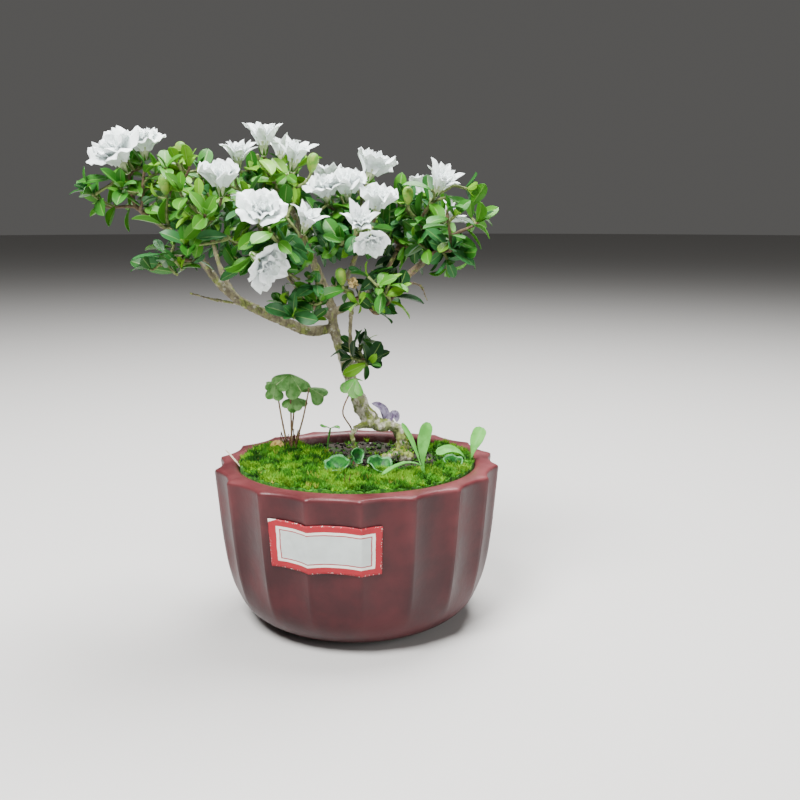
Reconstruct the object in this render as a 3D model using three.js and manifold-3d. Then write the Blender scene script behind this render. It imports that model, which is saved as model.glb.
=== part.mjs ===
// A miniature flowering bonsai in a fluted glazed pot, in millimetres, +Z up.
// The origin is the middle of the pot's flat underside, and -Y is the front.
import * as THREE from "three";
import { mergeVertices } from "three/addons/utils/BufferGeometryUtils.js";
import Module from "manifold-3d";

const wasm = await Module();
wasm.setup();

// Driving dimensions of the pot
const POT_RADIUS = 48;
const POT_HEIGHT = 53;
const POT_WALL = 7.5;
const POT_FLOOR = 8;
const LIP_FLARE = 1.2;
const LIP_DEPTH = 1.4;
const INNER_FLOOR_RADIUS = 29.5;
const FLUTES = 18;
const FLUTE_DEPTH = 2.4;
const FIRST_RIDGE = THREE.MathUtils.degToRad(1);
const STEPS_PER_FLUTE = 3;
const STEP_ANGLE = (2 * Math.PI) / (FLUTES * STEPS_PER_FLUTE);

// Driving dimensions of the paper label: the ends of its arc seen from above, in degrees from the front,
// its heights and its thickness
const LABEL = { from: -36, to: 9.3, bottom: 29, top: 44.6, thickness: 0.4 };

// Levels of what the pot holds
const SOIL_LEVEL = 50.5;
const SOIL_EDGE_LEVEL = 49;
const SOIL_FLAT_RADIUS = 30;
const SOIL_SIDES = 24;
const MOSS_LEVEL = 53.4;
const MOSS_EDGE_THICKNESS = 0.6;

// Moss cushions, each between two angles in degrees (0 is +X) and two radii
const MOSSES = [
  { name: "moss_left", from: 132, to: 232, inner: 9, outer: 40 },
  { name: "moss_front", from: 234, to: 306, inner: 17, outer: 40 },
  { name: "moss_right", from: 308, to: 374, inner: 31, outer: 40 },
];

// Pieces that touch keep this gap, and a little more where a round piece meets another
const CLEAR = 0.3;
const ROUND_CLEAR = 0.4;
const GROUND = SOIL_LEVEL + CLEAR;

// Seams survive these roundings, if need be by a nudge of the piece that is joined
const ROUNDINGS = [0.001, 0.0001];
const NUDGES = [
  [0, 0, 0],
  [0.02, 0.01, 0.02],
  [-0.01, 0.02, -0.02],
  [0.03, -0.02, 0.01],
  [-0.03, -0.03, 0.03],
];

// Sides of the round pieces
const TRUNK_SIDES = 10;
const LIMB_SIDES = 6;
const TWIG_SIDES = 3;

// Leaves sit in opposite pairs: each pair's length, its angle from the shoot in degrees, and its share of
// the shoot back from the end. A leaf that does not fit is tried smaller, and then left out.
const LEAF_LENGTHS = [12.5, 10.5];
const LEAF_OPENINGS = [76, 36];
const LEAF_BACKS = [0.2, 0.06];
const BACK_FROM_BLOOM = 0.1;
const LEAF_SHRINKS = [1, 0.8, 0.62];
const LEAST_LENGTH_SHARE = 0.85;
const LENGTH_SPREAD = 0.3;
const OPENING_SPREAD = 16;
const LEAF_WIDEST = 0.58;
const LEAF_WIDTH_SHARE = 0.5;
const LEAF_KEEL_SHARE = 0.04;

// Blossom and buds
const BLOOM_DEPTH = 5.5;
const BLOOM_RADIUS = 7;
const BLOOM_HOLLOW = 1.2;
const BLOOM_SEAT = 0.5;
const PETALS = 5;
const PETAL_NOTCH = 0.7;
const BUD_LENGTH = 6.5;
const BUD_RADIUS = 1.5;
const BUD_SEAT = 0.4;

// Twigs: radii, ring spacing, and how each leaves its host and rises to its end
const TWIG_TIP_RADIUS = 0.42;
const TWIG_GROWTH = 0.14;
const TWIG_STEP = 7;
const TWIG_SEAT_SHARE = 0.3;
const STEM_LENGTH = 4;
const LEAST_SPAN = 4;
const LEAST_BEND = 0.1;
const BEND_AHEAD = 0.2;
const END_RISE = 0.3;
const PATH_WEIGHT = 0.35;
const STEM_WOOD = [0.45, 0.9];
const TWIG_WOOD = [0.3, 0.6, 0.85];

// Shoots: points tried for each, the shares of the reach between which it ends, and its turn upwards
const CANDIDATES = 14;
const END_LEAST = 0.25;
const END_MOST = 0.7;
const END_UPTURN = 0.75;
const WIDEST_GAP = 100;

// Room kept to the other masses and to the limbs, and the places that are tested for it
const LEAF_ROOM = 0.7;
const END_ROOM = 2;
const TWIG_ROOM = 1;
const TWIG_INSET = 1.3;
const TWIG_REACH = 0.95;
const TWIG_PROBES = [0.2, 0.4, 0.6, 0.8, 1];
const LEAF_PROBES = [0.35, 0.6, 0.85];
const LEAF_BALL_SHARE = 0.1;
const TWIG_BALL_RADIUS = 0.5;
const BLOOM_BALL_SHARE = 0.6;
const LIMB_SAMPLE_STEP = 1.5;

const COLOURS = {
  glaze: 0x5f3033,
  paper: 0xb8bdb4,
  soil: 0x2b221a,
  moss: 0x6f9a2c,
  bark: 0x8f8468,
  foliage: 0x6aa03c,
  clover: 0x6f9f4e,
  sprout: 0x86bd72,
  petal: 0xa79bb8,
};

// Limbs: each starts clear of its parent at a share of the parent's length, and passes its own points
const LIMBS = [
  {
    name: "trunk",
    points: [
      [10.64, 0, 64.7],
      [6.3, 0.1, 65.9],
      [3.1, 0.5, 68.8],
      [0.4, 1, 74.5],
      [-1.9, 2, 80.5],
      [-4.2, 5, 87],
      [-6.6, 9, 93.2],
      [-8, 12, 99],
      [-8.3, 12.8, 105],
    ],
    radii: [1.9, 3, 2.6, 2.2, 2.1, 1.8, 1.75, 1.7, 1.4],
  },
  {
    name: "bough_left",
    parent: "trunk",
    at: 0.84,
    points: [
      [-15.7, 8, 96.5],
      [-23.9, 5, 100],
      [-31.3, 3, 103.6],
      [-38.4, 2, 107.4],
      [-44.2, 2, 112],
    ],
    radii: [1.9, 1.5],
  },
  {
    name: "stub_left",
    parent: "bough_left",
    at: 0.74,
    points: [
      [-48, 6, 107.6],
      [-56, 8, 109.6],
    ],
    radii: [0.7, 0.4],
  },
  {
    name: "bough_left_upper",
    parent: "bough_left",
    at: 1,
    points: [
      [-49.3, 1, 119.3],
      [-53.7, 0, 125.8],
      [-60.9, -3, 131.3],
      [-65.5, -5, 135],
    ],
    radii: [1.4, 0.8],
  },
  {
    name: "bough_left_low",
    parent: "bough_left_upper",
    at: 0.44,
    points: [
      [-56, -6, 122.5],
      [-57.5, -10, 122.5],
    ],
    radii: [0.8, 0.6],
  },
  {
    name: "bough_left_front",
    parent: "bough_left_upper",
    at: 0.2,
    points: [
      [-49, -7, 123],
      [-48, -12, 127.5],
    ],
    radii: [0.9, 0.7],
  },
  {
    name: "bough_left_back",
    parent: "bough_left",
    at: 0.86,
    points: [
      [-45, 8, 117],
      [-48, 12, 126],
    ],
    radii: [1.1, 0.8],
  },
  {
    name: "bough_front",
    parent: "trunk",
    at: 0.91,
    points: [
      [-14, 2, 105.5],
      [-18.9, -7, 112.5],
      [-23, -13, 119],
    ],
    radii: [1.3, 0.8],
  },
  {
    name: "bough_low",
    parent: "bough_front",
    at: 0.42,
    points: [
      [-15.5, -8, 106.5],
      [-16.5, -11, 108],
    ],
    radii: [0.8, 0.6],
  },
  {
    name: "bough_top",
    parent: "trunk",
    at: 1,
    points: [
      [-12.1, 10, 115],
      [-16.8, 6, 127.2],
      [-21.5, 2, 139],
    ],
    radii: [1.4, 0.9],
  },
  {
    name: "bough_centre",
    parent: "bough_top",
    at: 0.12,
    points: [
      [-3, 8, 115],
      [0.5, 3, 123.5],
    ],
    radii: [1.2, 0.8],
  },
  {
    name: "bough_right",
    parent: "trunk",
    at: 0.94,
    points: [
      [0.7, 10, 106.5],
      [6.4, 4, 110],
      [13, 0, 113.3],
      [18.3, -4, 117.1],
      [22.8, -6.5, 121.4],
    ],
    radii: [1.5, 1.1],
  },
  {
    name: "twig_right",
    parent: "bough_right",
    at: 0.62,
    points: [
      [21, 1, 112.5],
      [24, 4, 106.8],
    ],
    radii: [0.6, 0.35],
  },
  {
    name: "bough_right_back",
    parent: "bough_right",
    at: 0.3,
    points: [
      [10, 10, 116],
      [14, 13, 123],
    ],
    radii: [1, 0.7],
  },
  {
    name: "bough_back",
    parent: "trunk",
    at: 0.97,
    points: [
      [-12, 19, 110],
      [-16, 23, 121],
    ],
    radii: [1.3, 0.8],
  },
  {
    name: "sprig",
    parent: "trunk",
    at: 0.6,
    points: [
      [-0.6, 1, 86.4],
      [0.6, -0.2, 87],
    ],
    radii: [0.6, 0.5],
  },
  {
    name: "shoot_front",
    parent: "trunk",
    at: 0.53,
    points: [
      [-1.7, -2.2, 88],
      [-2, -5, 98],
      [-1.3, -9.5, 106.5],
    ],
    radii: [0.9, 0.7],
  },
];

// Surface roots: those of the trunk are fused to it, and the right one is split below its bend
const TRUNK_ROOTS = [
  {
    points: [[5.4, 0.1, 66.2], [9, 0, 65.3], [12.4, -0.1, 64.7], [14.5, -0.4, 62.9], [15, -0.8, 60.4]],
    radii: [2.6, 1.8, 1.6, 1.9, 2],
    steps: 8,
  },
  {
    points: [
      [4.6, 0, 65.6],
      [1, -1.4, 65.3],
      [-0.9, -2, 64],
      [-2, -2.4, 62.1],
      [-1.1, -2.8, 59.6],
      [0, -3.2, 56],
      [0.8, -3.6, 48],
    ],
    radii: [2.2, 1.2, 0.9, 0.9, 0.95, 1.1, 1.3],
    steps: 9,
  },
  {
    points: [[12.2, 0.4, 64.6], [14.6, 4.2, 61], [16.4, 7.6, 56], [17.4, 10, 48]],
    radii: [1.3, 1.6, 1.7, 2],
    steps: 4,
  },
];
const ROOT_RIGHT = {
  points: [[15.3, -1.2, 57], [16, -1.7, 54], [17, -2.4, 48]],
  radii: [2, 2.1, 2.4, 3.2],
};
const ROOT_FRONT = {
  points: [[13.2, -3, 56.8], [9, -8, 55.4], [5.6, -10.5, 54.1], [3.4, -12, 52.8], [1.6, -13.2, 48]],
  radii: [1.4, 1.4, 1.3, 1.2, 1.3],
};

// Masses of foliage: each has a middle, how far it reaches each way, the bough it grows from,
// its number of shoots, and its blossom and buds as [place, direction]
const MASSES = [
  {
    name: "foliage_left_tip",
    bough: "bough_left_upper",
    middle: [-71, -8, 145],
    reach: [18, 20, 18.5],
    shoots: 11,
    seed: 23,
    blooms: [
      [[-72.9, -10, 153], [-0.35, -0.5, 0.8]],
      [[-66.4, -4, 157.6], [-0.05, -0.2, 1]],
    ],
    buds: [],
  },
  {
    name: "foliage_left_front",
    bough: "bough_left_front",
    middle: [-50, -24, 137],
    reach: [19, 20, 20],
    shoots: 11,
    seed: 5,
    blooms: [[[-40.3, -22, 146.3], [0, -0.3, 1]]],
    buds: [[[-56.1, -20, 145.5], [-0.1, -0.2, 1]]],
  },
  {
    name: "foliage_left_low",
    bough: "bough_left_low",
    middle: [-55, -17, 123.5],
    reach: [16, 15, 12],
    shoots: 7,
    seed: 18,
    blooms: [],
    buds: [],
  },
  {
    name: "foliage_left_back",
    bough: "bough_left_back",
    middle: [-52, 18, 139],
    reach: [21, 21, 21],
    shoots: 11,
    seed: 7,
    blooms: [
      [[-58, 20, 153], [-0.3, 0.5, 0.9]],
      [[-45, 30, 143], [0.1, 0.9, 0.4]],
    ],
    buds: [[[-54, -1, 155], [0, 0, 1]]],
  },
  {
    name: "foliage_top",
    bough: "bough_top",
    middle: [-28, -1, 149],
    reach: [22, 20, 16],
    shoots: 12,
    seed: 17,
    blooms: [
      [[-37.3, 0, 155.2], [0.05, -0.2, 1]],
      [[-29, -2, 159.6], [0, -0.15, 1]],
      [[-18.8, -6, 154.2], [0.2, -0.3, 0.9]],
      [[-24, 10, 157], [0.1, 0.3, 1]],
    ],
    buds: [[[-12.6, -3, 151], [0.2, 0, 1]]],
  },
  {
    name: "foliage_front",
    bough: "bough_front",
    middle: [-29, -25, 129],
    reach: [21, 19, 21],
    shoots: 12,
    seed: 12,
    blooms: [
      [[-27.5, -29, 136.3], [0.1, -0.75, 0.7]],
      [[-26.9, -31, 121.5], [0.35, -0.85, -0.2]],
      [[-14.3, -22, 134.8], [0.3, -0.35, 0.9]],
    ],
    buds: [],
  },
  {
    name: "foliage_low",
    bough: "bough_low",
    middle: [-17, -18, 109],
    reach: [15, 14, 12],
    shoots: 5,
    seed: 22,
    blooms: [],
    buds: [],
  },
  {
    name: "foliage_front_shoot",
    bough: "shoot_front",
    middle: [4, -18, 114],
    reach: [20, 16, 13],
    shoots: 7,
    seed: 5,
    blooms: [],
    buds: [],
  },
  {
    name: "foliage_centre",
    bough: "bough_centre",
    middle: [0, -10, 136],
    reach: [20, 24, 20],
    shoots: 15,
    seed: 14,
    blooms: [
      [[-9.4, -9, 143.7], [-0.15, -0.3, 1]],
      [[-2.4, -8, 144.6], [0, -0.35, 1]],
      [[6, 4, 150.8], [0.35, 0.05, 0.9]],
      [[1.4, -25, 134], [0, -0.8, 0.6]],
      [[7, -12, 140], [0.1, -0.4, 0.9]],
      [[5, -26, 127], [0.1, -0.6, -0.6]],
    ],
    buds: [],
  },
  {
    name: "foliage_right",
    bough: "bough_right",
    middle: [28, -9, 134],
    reach: [19, 20, 20],
    shoots: 13,
    seed: 9,
    blooms: [
      [[27.1, -11, 145.9], [0.3, -0.5, 0.8]],
      [[31.8, -1, 136], [0.7, 0.1, 0.6]],
    ],
    buds: [[[16.8, -10, 142.2], [0, -0.1, 1]]],
  },
  {
    name: "foliage_right_back",
    bough: "bough_right_back",
    middle: [18, 19, 132],
    reach: [21, 21, 20],
    shoots: 10,
    seed: 13,
    blooms: [
      [[24, 22, 144], [0.4, 0.4, 0.9]],
      [[12, 32, 133], [0, 0.9, 0.4]],
    ],
    buds: [],
  },
  {
    name: "foliage_back",
    bough: "bough_back",
    middle: [-17, 25, 136],
    reach: [23, 21, 21],
    shoots: 11,
    seed: 6,
    blooms: [
      [[-26, 34, 147], [-0.2, 0.6, 0.8]],
      [[-8, 30, 148], [0.1, 0.4, 0.9]],
      [[-18, 40, 133], [0, 0.9, 0.3]],
    ],
    buds: [],
  },
  {
    name: "foliage_trunk",
    bough: "sprig",
    middle: [-1, -2, 90],
    reach: [13, 12, 10],
    shoots: 4,
    seed: 8,
    blooms: [],
    buds: [],
  },
];

// Small plants in the pot: each has a foot and the tops of its stalks or the tips of its blades
const CLOVERS = [
  {
    name: "clover",
    foot: [-23.3, 16, 53.7],
    tops: [
      [-28.6, 14, 76.6],
      [-23.2, 12, 79.4],
      [-17.7, 6, 79.2],
      [-13.7, 8, 76.5],
      [-22.7, 18, 73],
    ],
  },
  { name: "clover_by_trunk", foot: [-6, -4.2, 50.8], tops: [[-2.4, -8.4, 80.6]] },
];
const STALK_RADIUS = 0.55;
const STALK_BOW = 2;
const STALK_PARTING = 0.05;
const LEAFLETS = 3;
const LEAFLET_SEAT = 0.6;
const CLOVER_LEAFLET = { length: 6, width: 6.6, widest: 0.66, keel: 0.4, droop: 0.25 };
const SPROUTS = [
  { name: "sprout_front", foot: [20.8, -21.4, 50.8], tips: [[22.3, -20, 70.5], [9, -26, 55.8]] },
  {
    name: "sprout_right",
    foot: [37.9, -4, 53.7],
    tips: [[41.7, 0, 63.1], [27.8, -8, 56.8], [38.6, 5, 60]],
  },
  {
    name: "sprout_back",
    foot: [-9.7, 18, 50.8],
    tips: [[-9.9, 18.6, 60.4], [-14.5, 16, 57.8], [-5.4, 20, 57.4]],
  },
];
const SPROUT_BLADE = { widthShare: 0.26, widest: 0.7, keel: 0.5 };
const SPROUT_COLLAR = { top: 0.5, bottom: 0.9, height: 1.6, sides: 5 };
const PETAL_PAIR = { name: "petals", foot: [9.4, 0.8, 67.9], tips: [[6, 2.2, 72.8], [12.8, 1.6, 70.6]] };
const PETAL_BLADE = { widthShare: 0.7, widest: 0.6, keel: 0.4 };
const PETAL_HEART_RADIUS = 0.7;

// Vectors

function vector([x, y, z]) {
  return new THREE.Vector3(x, y, z);
}

function anyAcross(direction) {
  const side = Math.abs(direction.z) < 0.9 ? new THREE.Vector3(0, 0, 1) : new THREE.Vector3(1, 0, 0);
  return side.cross(direction).normalize();
}

function matrixAlong(xAxis, zHint, origin) {
  const x = xAxis.clone().normalize();
  const z = zHint.clone().addScaledVector(x, -zHint.dot(x)).normalize();
  const y = z.clone().cross(x);
  return new THREE.Matrix4().makeBasis(x, y, z).setPosition(origin);
}

// Solids

function solidOf(geometry) {
  const bare = geometry.clone();
  bare.deleteAttribute("normal");
  bare.deleteAttribute("uv");
  const merged = mergeVertices(bare, 1e-4);
  const corners = [];
  for (let i = 0; i < merged.index.count; i += 3) {
    const [a, b, c] = [0, 1, 2].map((k) => merged.index.getX(i + k));
    if (a !== b && b !== c && c !== a) corners.push(a, b, c);
  }
  const vertProperties = merged.attributes.position.array;
  return new wasm.Manifold(
    new wasm.Mesh({ numProp: 3, vertProperties, triVerts: new Uint32Array(corners) }),
  );
}

function geometryOf(solid) {
  const mesh = solid.getMesh();
  const geometry = new THREE.BufferGeometry();
  geometry.setAttribute("position", new THREE.BufferAttribute(mesh.vertProperties, 3));
  geometry.setIndex(new THREE.BufferAttribute(mesh.triVerts, 1));
  geometry.computeVertexNormals();
  return geometry;
}

// Whether a solid stays closed, with two faces at each edge, once its corners are rounded to a grid.
function survivesRounding(solid, grid) {
  const { vertProperties, triVerts } = solid.getMesh();
  const numbers = new Map();
  const numberOf = (corner) => {
    const place = vertProperties.subarray(3 * corner, 3 * corner + 3);
    const key = Array.from(place, (value) => Math.round(value / grid)).join();
    if (!numbers.has(key)) numbers.set(key, numbers.size);
    return numbers.get(key);
  };
  const rounded = Array.from({ length: vertProperties.length / 3 }, (_, corner) => numberOf(corner));
  const sharing = new Map();
  for (let i = 0; i < triVerts.length; i += 3) {
    const face = [0, 1, 2].map((k) => rounded[triVerts[i + k]]);
    if (new Set(face).size < 3) continue;
    for (const k of [0, 1, 2]) {
      const [low, high] = [face[k], face[(k + 1) % 3]].sort((one, other) => one - other);
      const edge = low * numbers.size + high;
      sharing.set(edge, (sharing.get(edge) ?? 0) + 1);
    }
  }
  return [...sharing.values()].every((count) => count === 2);
}

// Joins solids into one body. A piece whose seam would not survive rounding is nudged, or else left out,
// and any scrap that nothing holds is dropped.
function fuse(solids) {
  let whole = solids[0];
  for (const solid of solids.slice(1)) {
    const joined = NUDGES.map((nudge) => whole.add(solid.translate(nudge))).find((trial) =>
      ROUNDINGS.every((grid) => survivesRounding(trial, grid)),
    );
    whole = joined ?? whole;
  }
  const [largest] = whole.decompose().sort((a, b) => b.volume() - a.volume());
  return largest;
}

function cutAtGround(solid) {
  const depth = GROUND / 2;
  const below = new THREE.BoxGeometry(POT_RADIUS, POT_RADIUS, depth).scale(2, 2, 1);
  below.translate(0, 0, GROUND - depth / 2);
  return solid.subtract(solidOf(below));
}

const part = new THREE.Group();

function addPiece(name, solid, colour, roughness = 0.7) {
  const material = new THREE.MeshStandardMaterial({ color: colour, roughness, metalness: 0 });
  const mesh = new THREE.Mesh(geometryOf(solid), material);
  mesh.name = name;
  part.add(mesh);
}

// Pot

// The pot's outer outline, as shares of its radius and height.
const POT_OUTLINE = [
  [0.54, 0],
  [0.66, 0.02],
  [0.79, 0.09],
  [0.87, 0.19],
  [0.92, 0.33],
  [0.955, 0.53],
  [0.995, 0.92],
  [1, 0.967],
  [0.98, 1],
].map(([radius, height]) => [radius * POT_RADIUS, height * POT_HEIGHT]);

function fluteScoop(angle, height) {
  const turn = ((angle - FIRST_RIDGE) * FLUTES) / (2 * Math.PI);
  const across = 2 * (turn - Math.floor(turn)) - 1;
  const fade = THREE.MathUtils.smoothstep(height, 0.1 * POT_HEIGHT, 0.5 * POT_HEIGHT);
  return FLUTE_DEPTH * fade * (1 - across * across);
}

function potRadius(angle, height) {
  const next = POT_OUTLINE.findIndex(([, z]) => z >= height);
  const [r0, z0] = POT_OUTLINE[next - 1];
  const [r1, z1] = POT_OUTLINE[next];
  return r0 + ((r1 - r0) * (height - z0)) / (z1 - z0) - fluteScoop(angle, height);
}

function profileOf(outline) {
  return outline.map(([radius, height]) => new THREE.Vector2(radius, height));
}

function latheSolid(outline, segments, reshape = () => {}) {
  const geometry = new THREE.LatheGeometry(profileOf(outline), segments, FIRST_RIDGE).rotateX(Math.PI / 2);
  const place = geometry.attributes.position;
  for (let i = 0; i < place.count; i++) reshape(place, i);
  return solidOf(geometry);
}

// The plain round inside of the pot, from its lip down to its floor.
const BORE = POT_RADIUS - POT_WALL;
const POT_INNER = [
  [BORE + LIP_FLARE, POT_HEIGHT],
  [BORE, POT_HEIGHT - LIP_DEPTH],
  [BORE - 1, POT_HEIGHT / 2],
  [INNER_FLOOR_RADIUS, POT_FLOOR],
];

function makePot() {
  const outline = [[0, 0], ...POT_OUTLINE, ...POT_INNER, [0, POT_FLOOR]];
  const solid = latheSolid(outline, FLUTES * STEPS_PER_FLUTE, (place, i) => {
    const row = i % outline.length;
    if (row === 0 || row > POT_OUTLINE.length) return;
    const [x, y, z] = [place.getX(i), place.getY(i), place.getZ(i)];
    const share = 1 - fluteScoop(Math.atan2(x, -y), z) / Math.hypot(x, y);
    place.setXY(i, x * share, y * share);
  });
  addPiece("pot", solid, COLOURS.glaze, 0.35);
}

// The label bends where the pot does: at the pot's own steps, and at its two ends.
function labelAngles() {
  const [from, to] = [LABEL.from, LABEL.to].map(THREE.MathUtils.degToRad);
  const first = Math.ceil((from - FIRST_RIDGE) / STEP_ANGLE);
  const last = Math.floor((to - FIRST_RIDGE) / STEP_ANGLE);
  const between = Array.from({ length: last - first + 1 }, (_, k) => FIRST_RIDGE + (first + k) * STEP_ANGLE);
  return [from, ...between, to];
}

function makeLabel() {
  const angles = labelAngles();
  const columns = angles.length - 1;
  const geometry = new THREE.BoxGeometry(1, 1, 1, columns, 1, 2);
  const place = geometry.attributes.position;
  for (let i = 0; i < place.count; i++) {
    const angle = angles[Math.round((place.getX(i) + 0.5) * columns)];
    const height = LABEL.bottom + (LABEL.top - LABEL.bottom) * (place.getZ(i) + 0.5);
    const proud = place.getY(i) < 0 ? LABEL.thickness : 0;
    const radius = potRadius(angle, height) + ROUND_CLEAR + proud;
    place.setXYZ(i, radius * Math.sin(angle), -radius * Math.cos(angle), height);
  }
  addPiece("label", solidOf(geometry), COLOURS.paper);
}

// What the pot holds

function makeSoil() {
  const wall = POT_INNER.map(([radius, height]) => [radius - CLEAR, height]);
  const side = wall.filter(([, height]) => height < SOIL_EDGE_LEVEL).reverse();
  const edge = BORE - ROUND_CLEAR;
  const outline = [
    [0, POT_FLOOR + CLEAR],
    ...side.map(([radius, height]) => [radius, height + CLEAR]),
    [edge, SOIL_EDGE_LEVEL],
    [SOIL_FLAT_RADIUS, SOIL_LEVEL],
    [0, SOIL_LEVEL],
  ];
  addPiece("soil", latheSolid(outline, SOIL_SIDES), COLOURS.soil, 1);
}

// A low moss cushion, thickest along its middle and thin at its ends and its inner edge.
function makeMoss({ name, from, to, inner, outer }) {
  const geometry = new THREE.BoxGeometry(1, 1, 1, 8, 4, 1);
  const place = geometry.attributes.position;
  const rim = GROUND + MOSS_EDGE_THICKNESS;
  for (let i = 0; i < place.count; i++) {
    const along = place.getX(i) + 0.5;
    const outward = place.getY(i) + 0.5;
    const angle = THREE.MathUtils.degToRad(to + (from - to) * along);
    const radius = inner + (outer - inner) * outward;
    const bulge = Math.sqrt(4 * along * (1 - along)) * Math.min(1, 3 * outward) ** 0.7;
    const level = place.getZ(i) < 0 ? GROUND : rim + (MOSS_LEVEL - rim) * bulge;
    place.setXYZ(i, radius * Math.cos(angle), radius * Math.sin(angle), level);
  }
  addPiece(name, solidOf(geometry), COLOURS.moss, 1);
}

// Limbs

function curveThrough(points) {
  return new THREE.CatmullRomCurve3(points, false, "centripetal");
}

function radiusAt(radii, share) {
  const place = share * (radii.length - 1);
  const low = Math.min(Math.floor(place), radii.length - 2);
  return radii[low] + (radii[low + 1] - radii[low]) * (place - low);
}

// A tapering limb along a curve: a closed cylinder whose rings are set along the curve.
// Its first ring is a share of its radius, where it hides in its parent.
function limbSolid(curve, radii, sides, steps, seat = 1) {
  const geometry = new THREE.CylinderGeometry(1, 1, 1, sides, steps);
  const frames = curve.computeFrenetFrames(steps, false);
  const place = geometry.attributes.position;
  for (let i = 0; i < place.count; i++) {
    const share = place.getY(i) + 0.5;
    const ring = Math.round(share * steps);
    const radius = radiusAt(radii, share) * (ring === 0 ? seat : 1);
    const point = curve
      .getPointAt(share)
      .addScaledVector(frames.normals[ring], place.getX(i) * radius)
      .addScaledVector(frames.binormals[ring], -place.getZ(i) * radius);
    place.setXYZ(i, point.x, point.y, point.z);
  }
  return solidOf(geometry);
}

const limbs = new Map();

function leadIn(start, heading, radius, route) {
  return curveThrough([start, start.clone().addScaledVector(heading, radius), ...route]);
}

// A limb that goes on from the end of another, face to face with it.
function goOnFrom(curve, radius, route) {
  const heading = curve.getTangentAt(1);
  return leadIn(curve.getPointAt(1).addScaledVector(heading, ROUND_CLEAR), heading, radius, route);
}

// A limb that leaves the side of another, and starts far enough out to clear it.
function branchFrom({ curve, radii }, share, radius, route) {
  const seat = curve.getPointAt(share);
  const heading = route[0].clone().sub(seat).normalize();
  const along = Math.abs(heading.dot(curve.getTangentAt(share)));
  const offset = (radiusAt(radii, share) + ROUND_CLEAR + radius * along) / Math.sqrt(1 - along * along);
  return leadIn(seat.addScaledVector(heading, offset), heading, radius, route);
}

function routeOf({ parent, at, points, radii }) {
  const route = points.map(vector);
  if (!parent) return curveThrough(route);
  const host = limbs.get(parent);
  return at === 1 ? goOnFrom(host.curve, radii[0], route) : branchFrom(host, at, radii[0], route);
}

function makeLimbs() {
  for (const limb of LIMBS) {
    const curve = routeOf(limb);
    limbs.set(limb.name, { curve, radii: limb.radii });
    if (limb.name === "trunk") continue;
    addPiece(limb.name, limbSolid(curve, limb.radii, LIMB_SIDES, limb.points.length * 2), COLOURS.bark);
  }
}

function makeTrunk() {
  const { curve, radii } = limbs.get("trunk");
  const roots = TRUNK_ROOTS.map((root) => ({ ...root, curve: curveThrough(root.points.map(vector)) }));
  const rootSolids = roots.map((root) => limbSolid(root.curve, root.radii, LIMB_SIDES, root.steps));
  const whole = fuse([limbSolid(curve, radii, TRUNK_SIDES, 14), ...rootSolids]);
  addPiece("trunk", cutAtGround(whole), COLOURS.bark);

  const right = goOnFrom(roots[0].curve, ROOT_RIGHT.radii[0], ROOT_RIGHT.points.map(vector));
  const front = curveThrough(ROOT_FRONT.points.map(vector));
  addPiece("root_right", cutAtGround(limbSolid(right, ROOT_RIGHT.radii, 8, 6)), COLOURS.bark);
  addPiece("root_front", cutAtGround(limbSolid(front, ROOT_FRONT.radii, 8, 6)), COLOURS.bark);
}

// Foliage

// Numbers from 0 to 1 that are the same each time for one seed.
function seeded(seed) {
  let state = (seed * 48271 + 12345) % 2147483647;
  return () => {
    state = (state * 16807) % 2147483647;
    return state / 2147483647;
  };
}

// Points along each limb, with its radius there, that foliage keeps clear of.
function limbSamples() {
  const samples = [];
  for (const { curve, radii } of limbs.values()) {
    const count = Math.ceil(curve.getLength() / LIMB_SAMPLE_STEP);
    for (let i = 0; i <= count; i++) {
      samples.push({ point: curve.getPointAt(i / count), radius: radiusAt(radii, i / count) });
    }
  }
  return samples;
}

function powerDistance(point, mass) {
  const size = (mass.reach[0] + mass.reach[1] + mass.reach[2]) / 3;
  return point.distanceToSquared(vector(mass.middle)) - size * size;
}

// A mass holds a point that is nearer to it than to any other mass, by a margin, and within its reach.
function holds(mass, point, margin, stretch) {
  const [x, y, z] = [0, 1, 2].map((k) => (point.getComponent(k) - mass.middle[k]) / mass.reach[k]);
  if (x * x + y * y + z * z > stretch * stretch) return false;
  const own = powerDistance(point, mass);
  return MASSES.every((other) => {
    if (other === mass) return true;
    const apart = vector(mass.middle).distanceTo(vector(other.middle));
    return powerDistance(point, other) - own > 2 * apart * margin;
  });
}

function clearOfLimbs(point, samples, margin) {
  return samples.every((sample) => point.distanceTo(sample.point) > sample.radius + margin);
}

function pointInReach(mass, random, least, most) {
  for (;;) {
    const direction = new THREE.Vector3(2 * random() - 1, 2 * random() - 1, 2 * random() - 1);
    const length = direction.length();
    if (length > 1 || length < 0.2) continue;
    direction.multiplyScalar((least + (most - least) * random()) / length);
    return direction.multiply(vector(mass.reach)).add(vector(mass.middle));
  }
}

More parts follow.
